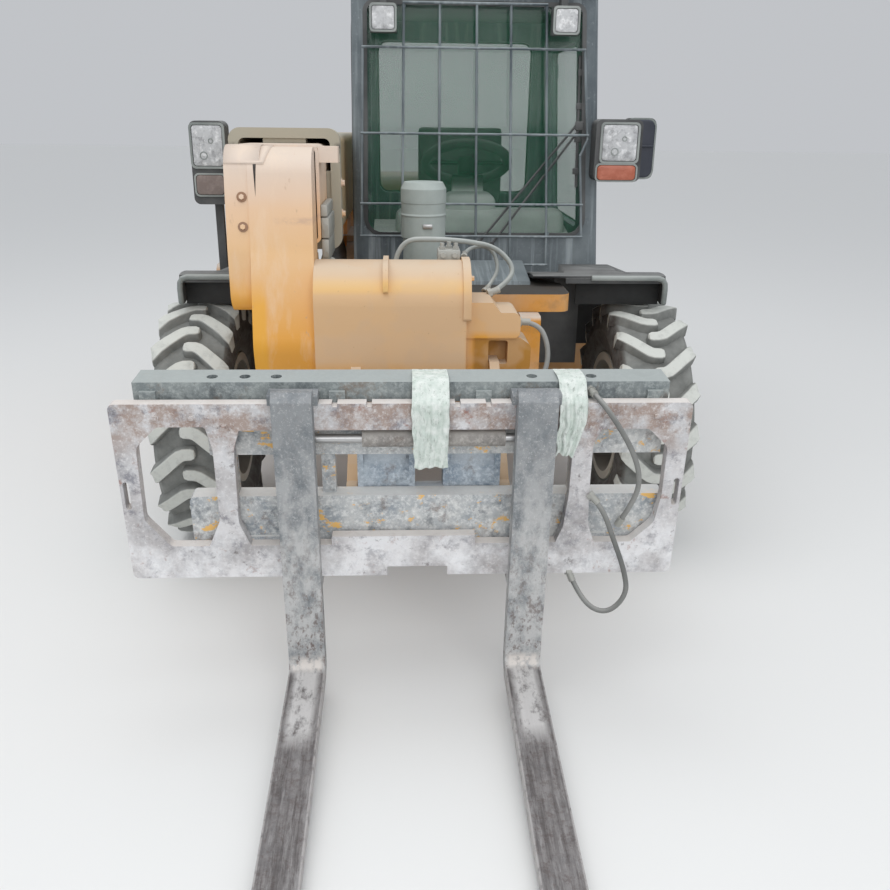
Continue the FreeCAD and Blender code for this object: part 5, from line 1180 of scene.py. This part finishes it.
def guards():
    """The mudguards, drawn in at their outer edge as on the real ones, with rolled pale lips, and near-black sheets
    under them that paint the shade beneath the guards.
    """
    shape = bmesh.new()
    shape.from_mesh(frame["nodes"]["mudguards"].data)
    bmesh.ops.remove_doubles(shape, verts=shape.verts, dist=1e-5)
    for vert in shape.verts:
        if vert.co.y < 0.9 and abs(vert.co.x) > GUARD_FOLD:
            reach = (abs(vert.co.x) - GUARD_FOLD) * (GUARD_EDGE - GUARD_FOLD) / (0.945 - GUARD_FOLD)
            vert.co.x = math.copysign(GUARD_FOLD + reach, vert.co.x)
        if vert.co.z > 0.95 and vert.co.z < 1.03:
            vert.co.z += GUARD_RISE * min(1.0, max(0.0, (-0.15 - vert.co.y) / 0.20))
    made = finished("guards", shape, "chassis", "black_plastic", 35)
    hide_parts("mudguards")
    skirt, lips, shade_sheet = bmesh.new(), bmesh.new(), bmesh.new()
    for side in (1, -1):
        for step in range(18):
            first, last = (math.radians(-10 + 4.6 * s) for s in (step, step + 1))
            ends = []
            for angle in (first, last):
                low = 0.470 + 0.038 * min(1.0, max(0.0, (math.degrees(angle) - 6) / 13))
                ends.append([(side * x, -0.265 + r * math.sin(angle), 0.450 + r * math.cos(angle))
                             for x, r in ((GUARD_EDGE - 0.005, low), (GUARD_EDGE, low), (GUARD_EDGE, 0.553),
                                          (GUARD_EDGE - 0.005, 0.553))])
            rows = [[skirt.verts.new(place) for place in end] for end in ends]
            for one in range(4):
                skirt.faces.new((rows[0][one], rows[0][(one + 1) % 4], rows[1][(one + 1) % 4], rows[1][one]))
            if step == 0:
                skirt.faces.new(rows[0])
            if step == 17:
                skirt.faces.new(rows[1])
        # near-black sheets under each guard, one upright above the tyre and one arc under the crown: painted shade of
        # the space under the guard
        block(shade_sheet, sorted((side * 0.560, side * 0.873)), (-0.314, -0.306), (0.906, 1.000), 0.001)
        arc = [(side * x, radius) for x, radius in ((0.560, 0.5400), (0.775, 0.5400), (0.775, 0.5445), (0.560, 0.5445))]
        strips = []
        for step in range(15):
            angle = math.radians(-2 + 5.3 * step)
            strips.append([shade_sheet.verts.new((x, -0.265 + r * math.sin(angle), 0.450 + r * math.cos(angle)))
                           for x, r in arc])
        for here, after in zip(strips, strips[1:]):
            for one in range(4):
                shade_sheet.faces.new((here[one], here[(one + 1) % 4], after[(one + 1) % 4], after[one]))
        shade_sheet.faces.new(strips[0])
        shade_sheet.faces.new(strips[-1])
        route = [(0.604, -0.378, 1.014), (0.848, -0.378, 1.014), (0.866, -0.378, 1.008), (0.875, -0.379, 0.994),
                 (0.877, -0.380, 0.972), (0.877, -0.377, 0.925)]
        for start, end in zip(route, route[1:]):
            ends = [Vector((side * x, y, z)) for x, y, z in (start, end)]
            rod(lips, ends[0], ends[1], 0.0100, 12)
            bmesh.ops.create_uvsphere(lips, u_segments=12, v_segments=8, radius=0.0100,
                                      matrix=Matrix.Translation(ends[1]))
    bmesh.ops.remove_doubles(skirt, verts=skirt.verts, dist=1e-5)
    finished("guard_skirts", skirt, "chassis", "black_plastic", 40)
    finished("guard_lips", lips, "chassis", "black_plastic", 40, material=LAMP_EDGE)
    finished("guard_shade_sheets", shade_sheet, "chassis", "black_plastic", 40, material=SHADE_SHEET_BLACK)


# Fasteners and trim

def fasteners():
    head = bmesh.new()
    for x, y, z in HEAD_BOLTS:
        bolt(head, (x, y + 0.004, z), (0, -1, 0.12), 0.0085, 0.014)
    for index in range(4):
        angle = math.radians(45 + 90 * index)
        bolt(head, (0.1218, -0.835 + 0.085 * math.cos(angle), 1.050 + 0.075 * math.sin(angle)), (1, 0, 0), 0.008, 0.011)
    finished("boom_bolts", head, "boom_inner", "boom_paint", 30)
    mouth = bmesh.new()
    for side in (1, -1):
        for z in (1.245, 1.345):
            bolt(mouth, (-0.470 + side * 0.1815, -0.450, z), (side, 0, 0), 0.010, 0.012)
    finished("collar_bolts", mouth, "boom_outer", "boom_paint", 30)
    rear = bmesh.new()
    for x in (-0.40, 0.40):
        for z in (0.62, 0.78):
            bolt(rear, (x, 2.5145, z), (0, 1, 0), 0.014, 0.016)
    finished("counterweight_bolts", rear, "chassis", "chassis_paint", 30)
    grille = bmesh.new()
    for index in range(9):
        z = 0.975 + index * 0.022
        block(grille, (0.3445, 0.3505), (1.420, 1.800), (z, z + 0.011), 0.0015)
        block(grille, (-0.2355, -0.2295), (1.420, 1.800), (z, z + 0.011), 0.0015)
    finished("cover_louvres", grille, "engine_cover", "black_plastic", 30)
    tank = bmesh.new()
    rod(tank, (-0.800, 0.62, 0.9295), (-0.800, 0.62, 0.948), 0.045, 28)
    rod(tank, (-0.800, 0.62, 0.946), (-0.800, 0.62, 0.958), 0.036, 8)
    finished("tank_cap", tank, "chassis", "black_plastic", 30)
    step = bmesh.new()
    for y in (0.62, 0.74, 0.86, 0.98):
        block(step, (0.705, 0.856), (y, y + 0.05), (0.4402, 0.4445), 0.001)
    finished("step_treads", step, "chassis", "running_gear", 30)
    clamp = bmesh.new()
    for z in (1.060, 1.200):
        ring(clamp, [(-0.009, 0.0725), (0.009, 0.0725), (0.009, 0.0755), (-0.009, 0.0755)], (-0.008, -0.350, z), "Z", 48)
        block(clamp, (-0.012, 0.022), (-0.436, -0.424), (z - 0.008, z + 0.008), 0.002)
    finished("canister_clamps", clamp, "chassis", "chrome_rod", 30)


def paint_faces():
    """Studs on the frame that the photo shows plainly."""
    studs = bmesh.new()
    for x in (-0.700, -0.610, 0.430, 0.560):
        bolt(studs, (x, -1.4362, 0.868), (0, -1, 0), 0.007, 0.006, 8)
    finished("frame_studs", studs, "shift_carriage", "carriage_steel", 30, matrix=LEAN_MATRIX)


hoses()
wheels()
wraps()
lamps()
wipers()
seals()
seat()
head_trim()
deck_trim()
cab_inside()
guards()
fasteners()
paint_faces()
